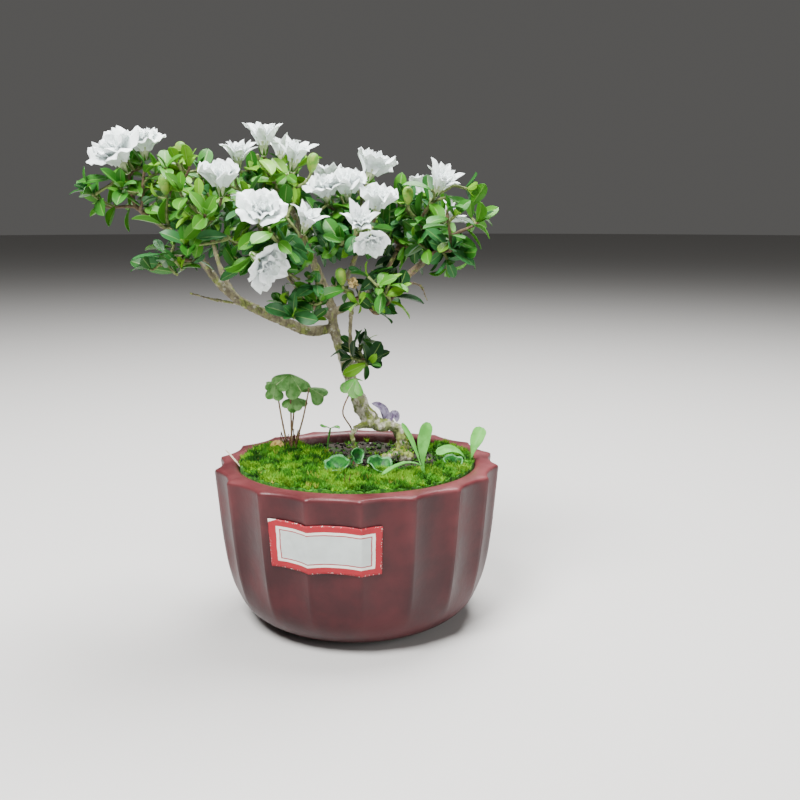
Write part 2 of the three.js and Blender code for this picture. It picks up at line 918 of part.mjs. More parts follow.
// Ends of the mass's shoots: blossom and buds first, then points spread evenly through its space.
function shootEnds(mass, random) {
  const ends = [];
  for (const [place, facing] of mass.blooms) {
    const axis = vector(facing).normalize();
    ends.push({ kind: "bloom", point: vector(place).addScaledVector(axis, -BLOOM_DEPTH), axis });
  }
  for (const [place, facing] of mass.buds) {
    const axis = vector(facing).normalize();
    ends.push({ kind: "bud", point: vector(place).addScaledVector(axis, -BUD_LENGTH / 2), axis });
  }
  while (ends.length < mass.shoots) {
    let best = null;
    let widest = -1;
    for (let tried = 0; tried < CANDIDATES; tried++) {
      const point = pointInReach(mass, random, END_LEAST, END_MOST);
      if (!holds(mass, point, END_ROOM, 1)) continue;
      const gap = Math.min(WIDEST_GAP, ...ends.map((end) => end.point.distanceTo(point)));
      if (gap > widest) [best, widest] = [point, gap];
    }
    if (!best) break;
    const outward = best.clone().sub(vector(mass.middle)).divide(vector(mass.reach));
    const axis = outward.add(new THREE.Vector3(0, 0, END_UPTURN)).normalize();
    ends.push({ kind: "leaves", point: best, axis });
  }
  return ends;
}

// A twig's solid is straight between its rings, and this gives a point on its axis.
function axisPoint({ route, steps }, share) {
  const ring = Math.min(Math.floor(share * steps), steps - 1);
  const [from, to] = [ring, ring + 1].map((step) => route.getPointAt(step / steps));
  return from.lerp(to, share * steps - ring);
}

function makeTwig(route, host, end) {
  const steps = Math.max(2, Math.round(route.getLength() / TWIG_STEP));
  return { route, steps, host, end, load: 1 };
}

function addWood(wood, twigs, shares, pathBefore) {
  const twig = twigs.at(-1);
  for (const share of shares) {
    const [point, way] = [axisPoint(twig, share), twig.route.getTangentAt(share)];
    const path = pathBefore + share * twig.route.getLength();
    wood.push({ point, way, path, twig: twigs.length - 1 });
  }
}

// Twigs: a stem goes on from the bough, and each shoot end joins the wood already there.
function growTwigs(mass, ends, samples) {
  const { curve } = limbs.get(mass.bough);
  const tangent = curve.getTangentAt(1);
  const root = curve.getPointAt(1).addScaledVector(tangent, ROUND_CLEAR);
  const stem = new THREE.LineCurve3(root, root.clone().addScaledVector(tangent, STEM_LENGTH));
  const twigs = [makeTwig(stem, -1, { kind: "stem" })];
  const wood = [];
  addWood(wood, twigs, STEM_WOOD, 0);
  const order = [...ends].sort((a, b) => a.point.distanceTo(root) - b.point.distanceTo(root));
  for (const end of order) {
    const cost = (node) => node.point.distanceTo(end.point) + PATH_WEIGHT * node.path;
    const host = wood.reduce((best, node) => (cost(node) < cost(best) ? node : best));
    const span = host.point.distanceTo(end.point);
    if (span < LEAST_SPAN) continue;
    const ahead = end.point.clone().sub(host.point).dot(host.way) / span;
    const bendShare = LEAST_BEND + BEND_AHEAD * Math.max(0, ahead);
    const bend = host.point.clone().addScaledVector(host.way, bendShare * span);
    const rise = end.point.clone().addScaledVector(end.axis, -END_RISE * span);
    const route = new THREE.CubicBezierCurve3(host.point.clone(), bend, rise, end.point.clone());
    const points = TWIG_PROBES.map((probe) => route.getPoint(probe));
    const fits = points.every((point) => holds(mass, point, TWIG_INSET, TWIG_REACH));
    const clear = points.every((point) => clearOfLimbs(point, samples, TWIG_ROOM));
    if (!fits || !clear) continue;
    twigs.push(makeTwig(route, host.twig, end));
    addWood(wood, twigs, TWIG_WOOD, host.path);
  }
  for (let i = twigs.length - 1; i >= 0; i--) {
    if (twigs[i].host >= 0) twigs[twigs[i].host].load += twigs[i].load;
  }
  return twigs;
}

// A blade: slim, with a keel below it, widest past its middle, from its root along +Y to its tip.
function bladeGeometry(length, width, widest, keel) {
  const outline = [
    [0, 0],
    [1, widest],
    [0, 1],
  ];
  const halfWidth = Math.sin(Math.PI / 3);
  return new THREE.LatheGeometry(profileOf(outline), 3).scale(width / (2 * halfWidth), length, keel);
}

function bladePlace(root, way, upper) {
  const across = upper.clone().cross(way).normalize();
  return new THREE.Matrix4().makeBasis(across, way, upper.clone().negate()).setPosition(root);
}

function leafGeometry(length) {
  return bladeGeometry(length, LEAF_WIDTH_SHARE * length, LEAF_WIDEST, LEAF_KEEL_SHARE * length);
}

function cornersOf(geometry) {
  const place = geometry.attributes.position;
  return Array.from({ length: place.count }, (_, i) => new THREE.Vector3().fromBufferAttribute(place, i));
}

// Balls along a leaf, a twig or a blossom, by which the pieces of one mass keep off each other.
function leafBalls(root, way, length) {
  return LEAF_PROBES.map((share) => ({
    point: root.clone().addScaledVector(way, share * length),
    radius: LEAF_BALL_SHARE * length,
  }));
}

function meets(balls, taken, owner) {
  return taken.some(
    (other) =>
      other.owner !== owner &&
      balls.some((ball) => ball.point.distanceTo(other.point) < ball.radius + other.radius),
  );
}

// Opposite pairs of leaves, each pair a quarter turn from the last, closing towards the shoot's end.
function rosette(mass, twig, random, samples, taken) {
  const { end } = twig;
  const leaves = [];
  if (end.kind === "stem") return leaves;
  const first = anyAcross(end.axis).applyAxisAngle(end.axis, 2 * Math.PI * random());
  const behind = end.kind === "leaves" ? 0 : BACK_FROM_BLOOM;
  for (let pair = 0; pair < LEAF_LENGTHS.length; pair++) {
    const root = axisPoint(twig, 1 - LEAF_BACKS[pair] - behind);
    const aside = first.clone().applyAxisAngle(end.axis, (pair * Math.PI) / 2);
    for (const side of [1, -1]) {
      const full = LEAF_LENGTHS[pair] * (LEAST_LENGTH_SHARE + LENGTH_SPREAD * random());
      const opening = THREE.MathUtils.degToRad(LEAF_OPENINGS[pair] + OPENING_SPREAD * (random() - 0.5));
      const [across, along] = [Math.sin(opening), Math.cos(opening)];
      const out = aside.clone().multiplyScalar(side);
      const way = out.clone().multiplyScalar(across).addScaledVector(end.axis, along);
      const upper = end.axis.clone().multiplyScalar(across).addScaledVector(out, -along);
      const length = LEAF_SHRINKS.map((shrink) => shrink * full).find((trial) => {
        const corners = cornersOf(leafGeometry(trial).applyMatrix4(bladePlace(root, way, upper)));
        const balls = leafBalls(root, way, trial);
        const inside = corners.every((corner) => holds(mass, corner, LEAF_ROOM, 1));
        const clear = [...corners, ...balls.map((ball) => ball.point)].every((point) =>
          clearOfLimbs(point, samples, LEAF_ROOM),
        );
        return inside && clear && !meets(balls, taken, twig);
      });
      if (!length) continue;
      leaves.push(solidOf(leafGeometry(length).applyMatrix4(bladePlace(root, way, upper))));
      taken.push(...leafBalls(root, way, length).map((ball) => ({ ...ball, owner: twig })));
    }
  }
  return leaves;
}

// A double blossom: a star of petals that opens from the twig's end.
function bloomSolid({ point, axis }) {
  const outline = [
    [0, -BLOOM_SEAT],
    [BLOOM_RADIUS, BLOOM_DEPTH],
    [0, BLOOM_DEPTH - BLOOM_HOLLOW],
  ];
  const star = new THREE.LatheGeometry(profileOf(outline), 2 * PETALS);
  const place = star.attributes.position;
  for (let i = 0; i < place.count; i++) {
    const [x, z] = [place.getX(i), place.getZ(i)];
    const turn = Math.round((Math.atan2(x, z) * PETALS) / Math.PI);
    const share = turn % 2 ? PETAL_NOTCH : 1;
    place.setXYZ(i, x * share, place.getY(i), z * share);
  }
  star.rotateZ(-Math.PI / 2);
  return solidOf(star.applyMatrix4(matrixAlong(axis, anyAcross(axis), point)));
}

function budSolid({ point, axis }) {
  const bud = new THREE.OctahedronGeometry(1, 0).scale(BUD_LENGTH / 2 + BUD_SEAT, BUD_RADIUS, BUD_RADIUS);
  bud.translate(BUD_LENGTH / 2 - BUD_SEAT, 0, 0);
  return solidOf(bud.applyMatrix4(matrixAlong(axis, anyAcross(axis), point)));
}

function twigRadius(load) {
  return TWIG_TIP_RADIUS + TWIG_GROWTH * (Math.sqrt(load) - 1);
}

function makeMass(mass, samples) {
  const random = seeded(mass.seed);
  const ends = shootEnds(mass, random);
  const twigs = growTwigs(mass, ends, samples);
  const solids = [];
  const taken = [];
  for (const twig of twigs) {
    const { end, route } = twig;
    for (let share = 0.1; share < 1; share += 0.15) {
      taken.push({ point: route.getPoint(share), radius: TWIG_BALL_RADIUS, owner: twig });
    }
    if (end.kind !== "bloom") continue;
    const mouth = end.point.clone().addScaledVector(end.axis, BLOOM_BALL_SHARE * BLOOM_DEPTH);
    taken.push({ point: mouth, radius: BLOOM_BALL_SHARE * BLOOM_RADIUS, owner: null });
  }
  for (const twig of twigs) {
    const radii = [twigRadius(twig.load), twigRadius(1)];
    const seat = twig.host < 0 ? 1 : TWIG_SEAT_SHARE;
    solids.push(limbSolid(twig.route, radii, TWIG_SIDES, twig.steps, seat));
    solids.push(...rosette(mass, twig, random, samples, taken));
    if (twig.end.kind === "bloom") solids.push(bloomSolid(twig.end));
    if (twig.end.kind === "bud") solids.push(budSolid(twig.end));
  }
  addPiece(mass.name, fuse(solids), COLOURS.foliage);
}

// A blade from a foot to a tip, its upper side turned as near to +Z as it goes.
function bladeBetween(foot, tip, width, { widest, keel }) {
  const way = tip.clone().sub(foot);
  const length = way.length();
  way.normalize();
  const upper = new THREE.Vector3(0, -0.4, 1).cross(way).cross(way).negate().normalize();
  return solidOf(bladeGeometry(length, width, widest, keel).applyMatrix4(bladePlace(foot, way, upper)));
}

// Clover: one upright stalk, and others that part from it low down, each with three leaflets.
function makeClover({ name, foot, tops }) {
  const root = vector(foot);
  const solids = [];
  const [first, ...others] = tops.map(vector);
  const main = { route: curveThrough([root, root.clone().lerp(first, 0.5), first]), steps: 3 };
  const radii = [STALK_RADIUS, STALK_RADIUS];
  solids.push(limbSolid(main.route, radii, TWIG_SIDES, main.steps), ...leafletsAt(first, 0));
  others.forEach((top, index) => {
    const start = axisPoint(main, STALK_PARTING * (index + 1));
    const lean = start.clone().lerp(top, 0.5).add(new THREE.Vector3(0, 0, STALK_BOW));
    const stalk = curveThrough([start, lean, top]);
    solids.push(limbSolid(stalk, radii, TWIG_SIDES, 2, TWIG_SEAT_SHARE), ...leafletsAt(top, index + 1));
  });
  addPiece(name, fuse(solids), COLOURS.clover);
}

function leafletsAt(top, turned) {
  const hub = top.clone().add(new THREE.Vector3(0, 0, -LEAFLET_SEAT));
  return Array.from({ length: LEAFLETS }, (_, index) => {
    const angle = (2 * Math.PI * index) / LEAFLETS + turned;
    const out = new THREE.Vector3(Math.cos(angle), Math.sin(angle), -CLOVER_LEAFLET.droop).normalize();
    const tip = hub.clone().addScaledVector(out, CLOVER_LEAFLET.length);
    return bladeBetween(hub, tip, CLOVER_LEAFLET.width, CLOVER_LEAFLET);
  });
}

function bladesFrom(root, tips, blade) {
  return tips.map((place) => {
    const tip = vector(place);
    return bladeBetween(root, tip, blade.widthShare * tip.distanceTo(root), blade);
  });
}

// A sprout: blades that open from a short round collar.
function makeSprout({ name, foot, tips }) {
  const { top, bottom, height, sides } = SPROUT_COLLAR;
  const [x, y, z] = foot;
  const collar = new THREE.CylinderGeometry(top, bottom, height, sides).rotateX(Math.PI / 2);
  const solids = [solidOf(collar.translate(x, y, z + height / 2))];
  solids.push(...bladesFrom(new THREE.Vector3(x, y, z + 1), tips, SPROUT_BLADE));
  addPiece(name, fuse(solids), COLOURS.sprout);
}

// Two fallen petals that hang together.
function makePetals({ name, foot, tips }) {
  const heart = new THREE.OctahedronGeometry(PETAL_HEART_RADIUS, 0).translate(...foot);
  addPiece(name, fuse([solidOf(heart), ...bladesFrom(vector(foot), tips, PETAL_BLADE)]), COLOURS.petal);
}

makePot();
makeLabel();
makeSoil();
for (const moss of MOSSES) makeMoss(moss);
makeLimbs();
makeTrunk();
const samples = limbSamples();
for (const mass of MASSES) makeMass(mass, samples);
for (const clover of CLOVERS) makeClover(clover);
for (const sprout of SPROUTS) makeSprout(sprout);
makePetals(PETAL_PAIR);

export default part;
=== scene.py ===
"""A miniature flowering bonsai in a fluted glazed pot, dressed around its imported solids.

Sizes in the tables below are in millimetres, in the frame of the solids: the origin is the middle of the
pot's underside, +Z is up and -Y is the front. Meshes are made in metres.
"""

import math
from functools import lru_cache

import bpy
import numpy as np
from bpy.props import FloatProperty, FloatVectorProperty, IntProperty, PointerProperty
from bpy.types import Operator, Panel, PropertyGroup
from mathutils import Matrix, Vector, noise


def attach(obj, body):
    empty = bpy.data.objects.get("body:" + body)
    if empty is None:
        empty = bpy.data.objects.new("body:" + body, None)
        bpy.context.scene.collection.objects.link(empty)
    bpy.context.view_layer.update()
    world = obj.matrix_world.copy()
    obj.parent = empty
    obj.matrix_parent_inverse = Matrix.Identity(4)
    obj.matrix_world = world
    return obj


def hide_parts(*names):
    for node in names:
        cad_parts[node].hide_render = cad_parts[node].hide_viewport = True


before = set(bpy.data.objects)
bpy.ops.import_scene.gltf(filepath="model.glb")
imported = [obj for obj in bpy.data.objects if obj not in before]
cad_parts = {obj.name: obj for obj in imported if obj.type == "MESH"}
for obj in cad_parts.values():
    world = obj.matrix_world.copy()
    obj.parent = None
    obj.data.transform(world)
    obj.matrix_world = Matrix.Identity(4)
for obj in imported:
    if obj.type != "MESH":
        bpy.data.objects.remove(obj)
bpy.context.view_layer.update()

bl_info = {
    "name": "Flowering Bonsai",
    "version": (1, 0, 0),
    "blender": (4, 5, 0),
    "location": "View3D > Sidebar > Bonsai",
    "description": "Makes the looks of a small flowering bonsai in its glazed pot",
    "category": "Object",
}

MM = 0.001

# Pot and what it holds
POT_RADIUS = 48
POT_HEIGHT = 53
POT_FLOOR = 8
FLUTES = 18
FIRST_RIDGE = math.radians(1)
INNER_RADIUS = 40.6
LOW_INNER_RADIUS = 38.5
CRUST_HEIGHTS = (44, 49)
CRUST_ANGLE = 2.15
UNDERSIDE = [(8, 0), (20, 0), (25.4, 0)]
WALL_POINTS = 26
POT_OUTLINE = [
    (0.54, 0), (0.66, 0.02), (0.79, 0.09), (0.87, 0.19), (0.92, 0.33), (0.955, 0.53), (0.995, 0.92),
]
LABEL_ANGLES = (-36, 9.3)
LABEL_HEIGHTS = (29, 44.6)
LABEL_COLUMNS = 72
LABEL_ROWS = 24
LABEL_SLANT = 0.54
LABEL_CLEAR = 0.5
LABEL_THICKNESS = 0.16
SOIL_LEVEL = 50.5
SOIL_RADIUS = 39.9
SOIL_FOOT_RADIUS = 28
# Mounds of soil round the roots: the middle, height and spread of each
SOIL_MOUNDS = [(17, -3, 2.6, 34), (7, -9, 1.6, 30)]
MOSS_LEVEL = 54.2
MOSS_RADIUS = 39.7
MOSS_INNER_EDGE = [(132, 16), (150, 9), (215, 8), (235, 10), (290, 13), (315, 19), (340, 25), (400, 31)]

# Limbs by name: the limb that each leaves and the share of its length where it does, the points that it
# passes, and its radii from its start to its end
LIMBS = {
    "trunk": (None, 0, [(10.64, 0, 64.7), (6.3, 0.1, 65.9), (3.1, 0.5, 68.8), (0.4, 1, 74.5), (-1.9, 2, 80.5),
              (-4.2, 5, 87), (-6.6, 9, 93.2), (-8, 12, 99), (-8.3, 12.8, 105)],
              [1.9, 3, 2.6, 2.2, 2.1, 1.8, 1.75, 1.7, 1.4]),
    "bough_left": ("trunk", 0.84, [(-15.7, 8, 96.5), (-23.9, 5, 100), (-31.3, 3, 103.6), (-38.4, 2, 107.4),
                   (-44.2, 2, 112)], [1.9, 1.5]),
    "stub_left": ("bough_left", 0.74, [(-48, 6, 107.6), (-56, 8, 109.6)], [0.7, 0.4]),
    "bough_left_upper": ("bough_left", 1, [(-49.3, 1, 119.3), (-53.7, 0, 125.8), (-60.9, -3, 131.3),
                         (-65.5, -5, 135)], [1.4, 0.8]),
    "bough_left_low": ("bough_left_upper", 0.44, [(-56, -6, 122.5), (-57.5, -10, 122.5)], [0.8, 0.6]),
    "bough_left_front": ("bough_left_upper", 0.2, [(-49, -7, 123), (-48, -12, 127.5)], [0.9, 0.7]),
    "bough_left_back": ("bough_left", 0.86, [(-45, 8, 117), (-48, 12, 126)], [1.1, 0.8]),
    "bough_front": ("trunk", 0.91, [(-14, 2, 105.5), (-18.9, -7, 112.5), (-23, -13, 119)], [1.3, 0.8]),
    "bough_low": ("bough_front", 0.42, [(-15.5, -8, 106.5), (-16.5, -11, 108)], [0.8, 0.6]),
    "bough_top": ("trunk", 1, [(-12.1, 10, 115), (-16.8, 6, 127.2), (-21.5, 2, 139)], [1.4, 0.9]),
    "bough_centre": ("bough_top", 0.12, [(-3, 8, 115), (0.5, 3, 123.5)], [1.2, 0.8]),
    "bough_right": ("trunk", 0.94, [(0.7, 10, 106.5), (6.4, 4, 110), (13, 0, 113.3), (18.3, -4, 117.1),
                    (22.8, -6.5, 121.4)], [1.5, 1.1]),
    "twig_right": ("bough_right", 0.62, [(21, 1, 112.5), (24, 4, 106.8)], [0.6, 0.35]),
    "bough_right_back": ("bough_right", 0.3, [(10, 10, 116), (14, 13, 123)], [1, 0.7]),
    "bough_back": ("trunk", 0.97, [(-12, 19, 110), (-16, 23, 121)], [1.3, 0.8]),
    "sprig": ("trunk", 0.6, [(-0.6, 1, 86.4), (0.6, -0.2, 87)], [0.6, 0.5]),
    "shoot_front": ("trunk", 0.53, [(-1.7, -2.2, 88), (-2, -5, 98), (-1.3, -9.5, 106.5)], [0.9, 0.7]),
}

# Surface roots, as the points that each passes and its radii
ROOTS = [
    ([(5.4, 0.1, 66.2), (9, 0, 65.3), (12.4, -0.1, 64.7), (14.5, -0.4, 62.9), (15, -0.8, 60.4),
      (15.3, -1.2, 57), (16, -1.7, 54), (17, -2.4, 48)], [2.6, 1.8, 1.6, 1.9, 2, 2.2, 2.5, 3.4]),
    ([(4.6, 0, 65.6), (1, -1.4, 65.3), (-0.9, -2, 64), (-2, -2.4, 62.1), (-1.1, -2.8, 59.6), (0, -3.2, 56),
      (0.8, -3.6, 48)], [2, 1.1, 0.75, 0.7, 0.8, 0.9, 1.2]),
    ([(12.2, 0.4, 64.6), (14.6, 4.2, 61), (16.4, 7.6, 56), (17.4, 10, 48)], [1.3, 1.6, 1.7, 2]),
    ([(15.2, -1.4, 57.4), (13, -3.4, 56.8), (9, -8, 55.4), (5.6, -10.5, 54.1), (3.4, -12, 52.8),
      (1.6, -13.2, 48)], [1.7, 1.4, 1.35, 1.2, 1, 1]),
]

# Knobs on the trunk's foot and the roots, as a place and a radius
KNOBS = [
    ((4.2, -0.4, 66.6), 2.7), ((2.2, -0.9, 66), 1.6), ((7.6, -0.5, 65.6), 2), ((10.6, -0.2, 65.3), 1.7),
    ((13.6, -0.4, 64.1), 1.9), ((15, -0.9, 61), 2.1), ((15.4, -1.4, 57.6), 2.3), ((16.2, -1.8, 54.4), 3),
    ((1.5, 0.4, 71.6), 2.45), ((-0.6, -2, 64.2), 0.95), ((-1.9, -2.4, 61.6), 0.9), ((12.6, -4.2, 56.6), 1.5),
    ((-1.4, 1.6, 79), 2.2), ((14, 3, 62), 1.7),
]

# Masses of foliage: the bough that each grows from, its middle, its reach each way, its number of shoots,
# its seed, and its blossom and buds, each as a place and a direction, and for a flower that isn't a full one
# of the common size its form and its size
MASSES = {
    "foliage_left_tip": ("bough_left_upper", (-71, -8, 145), (18, 20, 18.5), 11, 23, [
        ((-72.9, -10, 153), (-0.35, -0.5, 0.8), "full", 1.3),
        ((-66.4, -4, 157.6), (-0.05, -0.2, 1), "full", 1.05)], []),
    "foliage_left_front": ("bough_left_front", (-50, -24, 137), (19, 20, 20), 11, 5, [
        ((-40.3, -22, 146.3), (0, -0.3, 1))], [((-56.1, -20, 145.5), (-0.1, -0.2, 1))]),
    "foliage_left_low": ("bough_left_low", (-55, -17, 123.5), (16, 15, 12), 7, 18, [], []),
    "foliage_left_back": ("bough_left_back", (-52, 18, 139), (21, 21, 21), 11, 7, [
        ((-58, 20, 153), (-0.3, 0.5, 0.9), "bud", 1), ((-45, 30, 143), (0.1, 0.9, 0.4), "starry", 1)],
        [((-54, -1, 155), (0, 0, 1))]),
    "foliage_top": ("bough_top", (-28, -1, 149), (22, 20, 16), 12, 17, [
        ((-37.3, 0, 155.2), (0.05, -0.2, 1), "starry", 0.95),
        ((-29, -2, 159.6), (0, -0.15, 1), "starry", 1.08),
        ((-18.8, -6, 154.2), (0.2, -0.3, 0.9), "starry", 1.02),
        ((-24, 10, 157), (0.1, 0.3, 1), "starry", 0.95)],
        [((-12.6, -3, 151), (0.2, 0, 1))]),
    "foliage_front": ("bough_front", (-29, -25, 129), (21, 19, 21), 12, 12, [
        ((-27.5, -29, 136.3), (0.1, -0.75, 0.7), "full", 1.12),
        ((-26.9, -31, 121.5), (0.7, -0.55, -0.45), "full", 1.1),
        ((-14.3, -22, 134.8), (0.3, -0.35, 0.9), "starry", 0.92)], []),
    "foliage_low": ("bough_low", (-17, -18, 109), (15, 14, 12), 5, 22, [], []),
    "foliage_front_shoot": ("shoot_front", (4, -18, 114), (20, 16, 13), 7, 5, [], []),
    "foliage_centre": ("bough_centre", (0, -10, 136), (20, 24, 20), 15, 14, [
        ((-9.4, -9, 143.7), (-0.15, -0.3, 1)), ((-2.4, -8, 144.6), (0, -0.35, 1)),
        ((6, 4, 150.8), (0.35, 0.05, 0.9), "full", 1.05), ((1.4, -25, 134), (0, -0.8, 0.6), "starry", 0.92),
        ((7, -12, 140), (0.1, -0.4, 0.9)), ((5, -26, 127), (0.1, -0.6, -0.6), "full", 0.8)], []),
    "foliage_right": ("bough_right", (28, -9, 134), (19, 20, 20), 13, 9, [
        ((27.1, -11, 145.9), (0.3, -0.5, 0.8), "starry", 1.06),
        ((31.8, -1, 136), (0.7, 0.1, 0.6), "starry", 0.85)],
        [((16.8, -10, 142.2), (0, -0.1, 1))]),
    "foliage_right_back": ("bough_right_back", (18, 19, 132), (21, 21, 20), 10, 13, [
        ((24, 22, 144), (0.4, 0.4, 0.9)), ((12, 32, 133), (0, 0.9, 0.4), "starry", 1)], []),
    "foliage_back": ("bough_back", (-17, 25, 136), (23, 21, 21), 11, 6, [
        ((-26, 34, 147), (-0.2, 0.6, 0.8)), ((-8, 30, 148), (0.1, 0.4, 0.9)),
        ((-18, 40, 133), (0, 0.9, 0.3))], []),
    "foliage_trunk": ("sprig", (-1, -2, 90), (13, 12, 10), 4, 8, [], []),
}

WITHERED = (-0.9, -17, 114.3)

# Buds beside the masses' own, by the mass whose wood they leave: a place and the way that it points
LATE_BUDS = {
    "foliage_right": [((16.6, -10, 141.6), (-0.05, -0.1, 1))],
    "foliage_top": [((-13, -12, 151.4), (0.2, -0.2, 1))],
    "foliage_left_back": [((-54.4, -6, 155), (0, -0.1, 1))],
    "foliage_left_front": [((-56, -26, 144.4), (-0.05, -0.2, 1))],
    "foliage_front_shoot": [((-4.6, -19, 117), (-0.15, -0.2, 1))],
}

# Leafy shoots between the masses' own, in the same way: the shoot's end and the way that it points
LATE_SHOOTS = {
    "foliage_front": [((-13.5, -21, 125), (0.4, -0.6, 0.5)), ((-17.5, -20, 116), (0.3, -0.7, 0.1)),
                      ((-15, -19, 120), (0.3, -0.6, -0.2))],
    "foliage_centre": [((-8, -19, 124), (-0.3, -0.7, 0.4)), ((-4, -23, 127.5), (-0.2, -0.7, 0.5))],
    "foliage_front_shoot": [((-6, -21, 119.5), (-0.4, -0.7, 0.5))],
    "foliage_low": [((-12, -20, 115), (0.2, -0.6, 0.7)), ((-14.5, -19, 117), (-0.1, -0.5, 0.9))],
}

# Longer leaves that stand out from the crown, by their mass: a foot, a tip and the way that each faces
LONG_LEAVES = {
    "foliage_front_shoot": [
        ((-3.4, -18, 112.5), (-15, -22, 110.4), (0, -0.6, 0.8)),
        ((1.3, -17, 112), (11.2, -20, 120), (-0.2, -0.7, 0.6)),
    ],
    "foliage_right": [
        ((23.8, -12, 143.1), (14.6, -14, 146.4), (0, -0.6, 0.8)),
        ((29, -10, 140.7), (40.8, -10, 137.3), (0.1, -0.5, 0.85)),
        ((26.7, -12, 128.9), (39.2, -14, 124.9), (0, -0.6, 0.8)),
    ],
    "foliage_left_front": [
        ((-38.5, -24, 129.2), (-47.5, -28, 128.5), (0, -0.65, 0.75)),
    ],
    "foliage_left_tip": [
        ((-74.7, -12, 146.3), (-85.3, -13, 145.9), (0, -0.5, 0.85)),
        ((-59.9, -6, 153.5), (-52.3, -8, 157.4), (-0.3, -0.7, 0.5)),
    ],
}

# Masses that stand thinner than the rest, and the share of their finer leaves that grows
THINNED = {
    "foliage_left_tip": 0.3, "foliage_left_low": 0.4, "foliage_left_back": 0.75, "foliage_right": 0.8,
    "foliage_low": 0.5, "foliage_front_shoot": 0.7, "foliage_trunk": 0.5,
}

# Masses whose leaves stay above a height, as the open air below them does in view
LOWEST_LEAF = {"foliage_low": 103, "foliage_front_shoot": 103.5, "foliage_left_low": 118.5}

# How foliage grows, by the rule of the solids: room kept to the limbs, and how twigs join and bend
CLEAR = 0.4
BLOOM_DEPTH = 5.5
BUD_LENGTH = 6.5
TWIG_TIP_RADIUS = 0.42
TWIG_GROWTH = 0.14
TWIG_STEP = 7
STEM_LENGTH = 4
STEM_WOOD = (0.45, 0.9)
TWIG_WOOD = (0.3, 0.6, 0.85)
LEAST_SPAN = 4
LEAST_BEND = 0.1
BEND_AHEAD = 0.2
END_RISE = 0.3
PATH_WEIGHT = 0.35
TWIG_PROBES = (0.2, 0.4, 0.6, 0.8, 1)
TWIG_BALL = 0.5
FLOWER_BALL = 4.2
LATE_HOST_SHARES = (0.3, 0.5, 0.7, 0.9)

# Shoots: points tried for each, the shares of the reach between which it ends, and its turn upwards
CANDIDATES = 14
END_SHARES = (0.25, 0.7)
END_UPTURN = (0, 0, 0.75)
WIDEST_GAP = 100

# Pairs of leaves: their length, their angle from the shoot in degrees and their share of it back from its
# end. Those of the solids come first, then finer ones, at the twigs' tips, lower down and on side shoots.
LEAF_PAIRS = [(11.2, 76, 0.2), (9.4, 36, 0.06)]
TIP_PAIR = (6, 20, 0.02)
LOWER_PAIRS = [(8.6, 84, 0.42), (8, 80, 0.62), (7.4, 86, 0.8)]
SIDE_PAIRS = [(7.6, 66, 0.14), (6.2, 30, 0.04)]
LATE_PAIRS = [(LEAF_PAIRS[0], 0), (LEAF_PAIRS[1], 1), (LOWER_PAIRS[0], 0), (LOWER_PAIRS[1], 1),
              (SIDE_PAIRS[0], 0.5), (TIP_PAIR, 1.5)]
BACK_FROM_BLOOM = 0.1
LOW_ON_TWIG = 0.3
LENGTH_SHARES = (0.85, 1.15)
OPENING_SPREAD = 16
LEAF_WIDEST = 0.58
LEAF_SIDE_SHARE = 0.25
LEAF_KEEL_SHARE = 0.04
LEAF_SHRINKS = (1, 0.8, 0.62)
LEAF_ROOM = 0.7
LEAF_PROBES = (0.35, 0.6, 0.85)
LEAF_VIEW_PROBES = (0.45, 0.75, 1)
LEAF_BALL_SHARE = 0.1
FINE_LEAF_SNUG = 0.6

# Side shoots: where on a twig they stand, how long they are, and the shortest twig that has them
SIDE_SHOOTS = (0.34, 0.66)
SIDE_LENGTHS = (3.2, 6)
SIDE_PROBES = (0.6, 0.8, 1)
LEAST_HOST = 5

# Balls that keep a flower's space free: how far along its axis and forward of it, and their radius
BLOOM_SPACE = [(4.5, 0, 5.6), (8.5, 0, 6.2), (12.5, 0, 6), (5, -8, 5.4), (6, -15, 5)]
CROWN_FRONT = 6


# Vectors and routes

def unit(vector):
    return vector / np.linalg.norm(vector)


def point_of(values):
    return np.array(values, float)


def any_across(direction):
    side = point_of((0, 0, 1)) if abs(direction[2]) < 0.9 else point_of((1, 0, 0))
    return unit(np.cross(side, direction))


def turned(vector, axis, angle):
    """The vector turned about a unit axis."""
    along = axis * (axis @ vector)
    return along + math.cos(angle) * (vector - along) + math.sin(angle) * np.cross(axis, vector)


def squared(vector, axis):
    """The unit vector square to a unit axis that is nearest to a vector."""
    return unit(vector - axis * (axis @ vector))


def around(angle, radius, height=0.0):
    """The point at an angle and a radius round the Z axis."""
    return point_of((radius * math.cos(angle), radius * math.sin(angle), height))


def smooth_step(value, low, high):
    """A share that rises smoothly from 0 to 1 as the value goes from low to high."""
    share = min(1, max(0, (value - low) / (high - low)))
    return share * share * (3 - 2 * share)


class Seeded:
    """Numbers from 0 to 1 that are the same each time for one seed."""

    def __init__(self, seed):
        self.state = (seed * 48271 + 12345) % 2147483647

    def __call__(self, low=0.0, high=1.0):
        self.state = self.state * 16807 % 2147483647
        return low + (high - low) * self.state / 2147483647

    def direction(self):
        while True:
            found = point_of([self(-1, 1) for _ in range(3)])
            if 0.1 < found @ found <= 1:
                return unit(found)


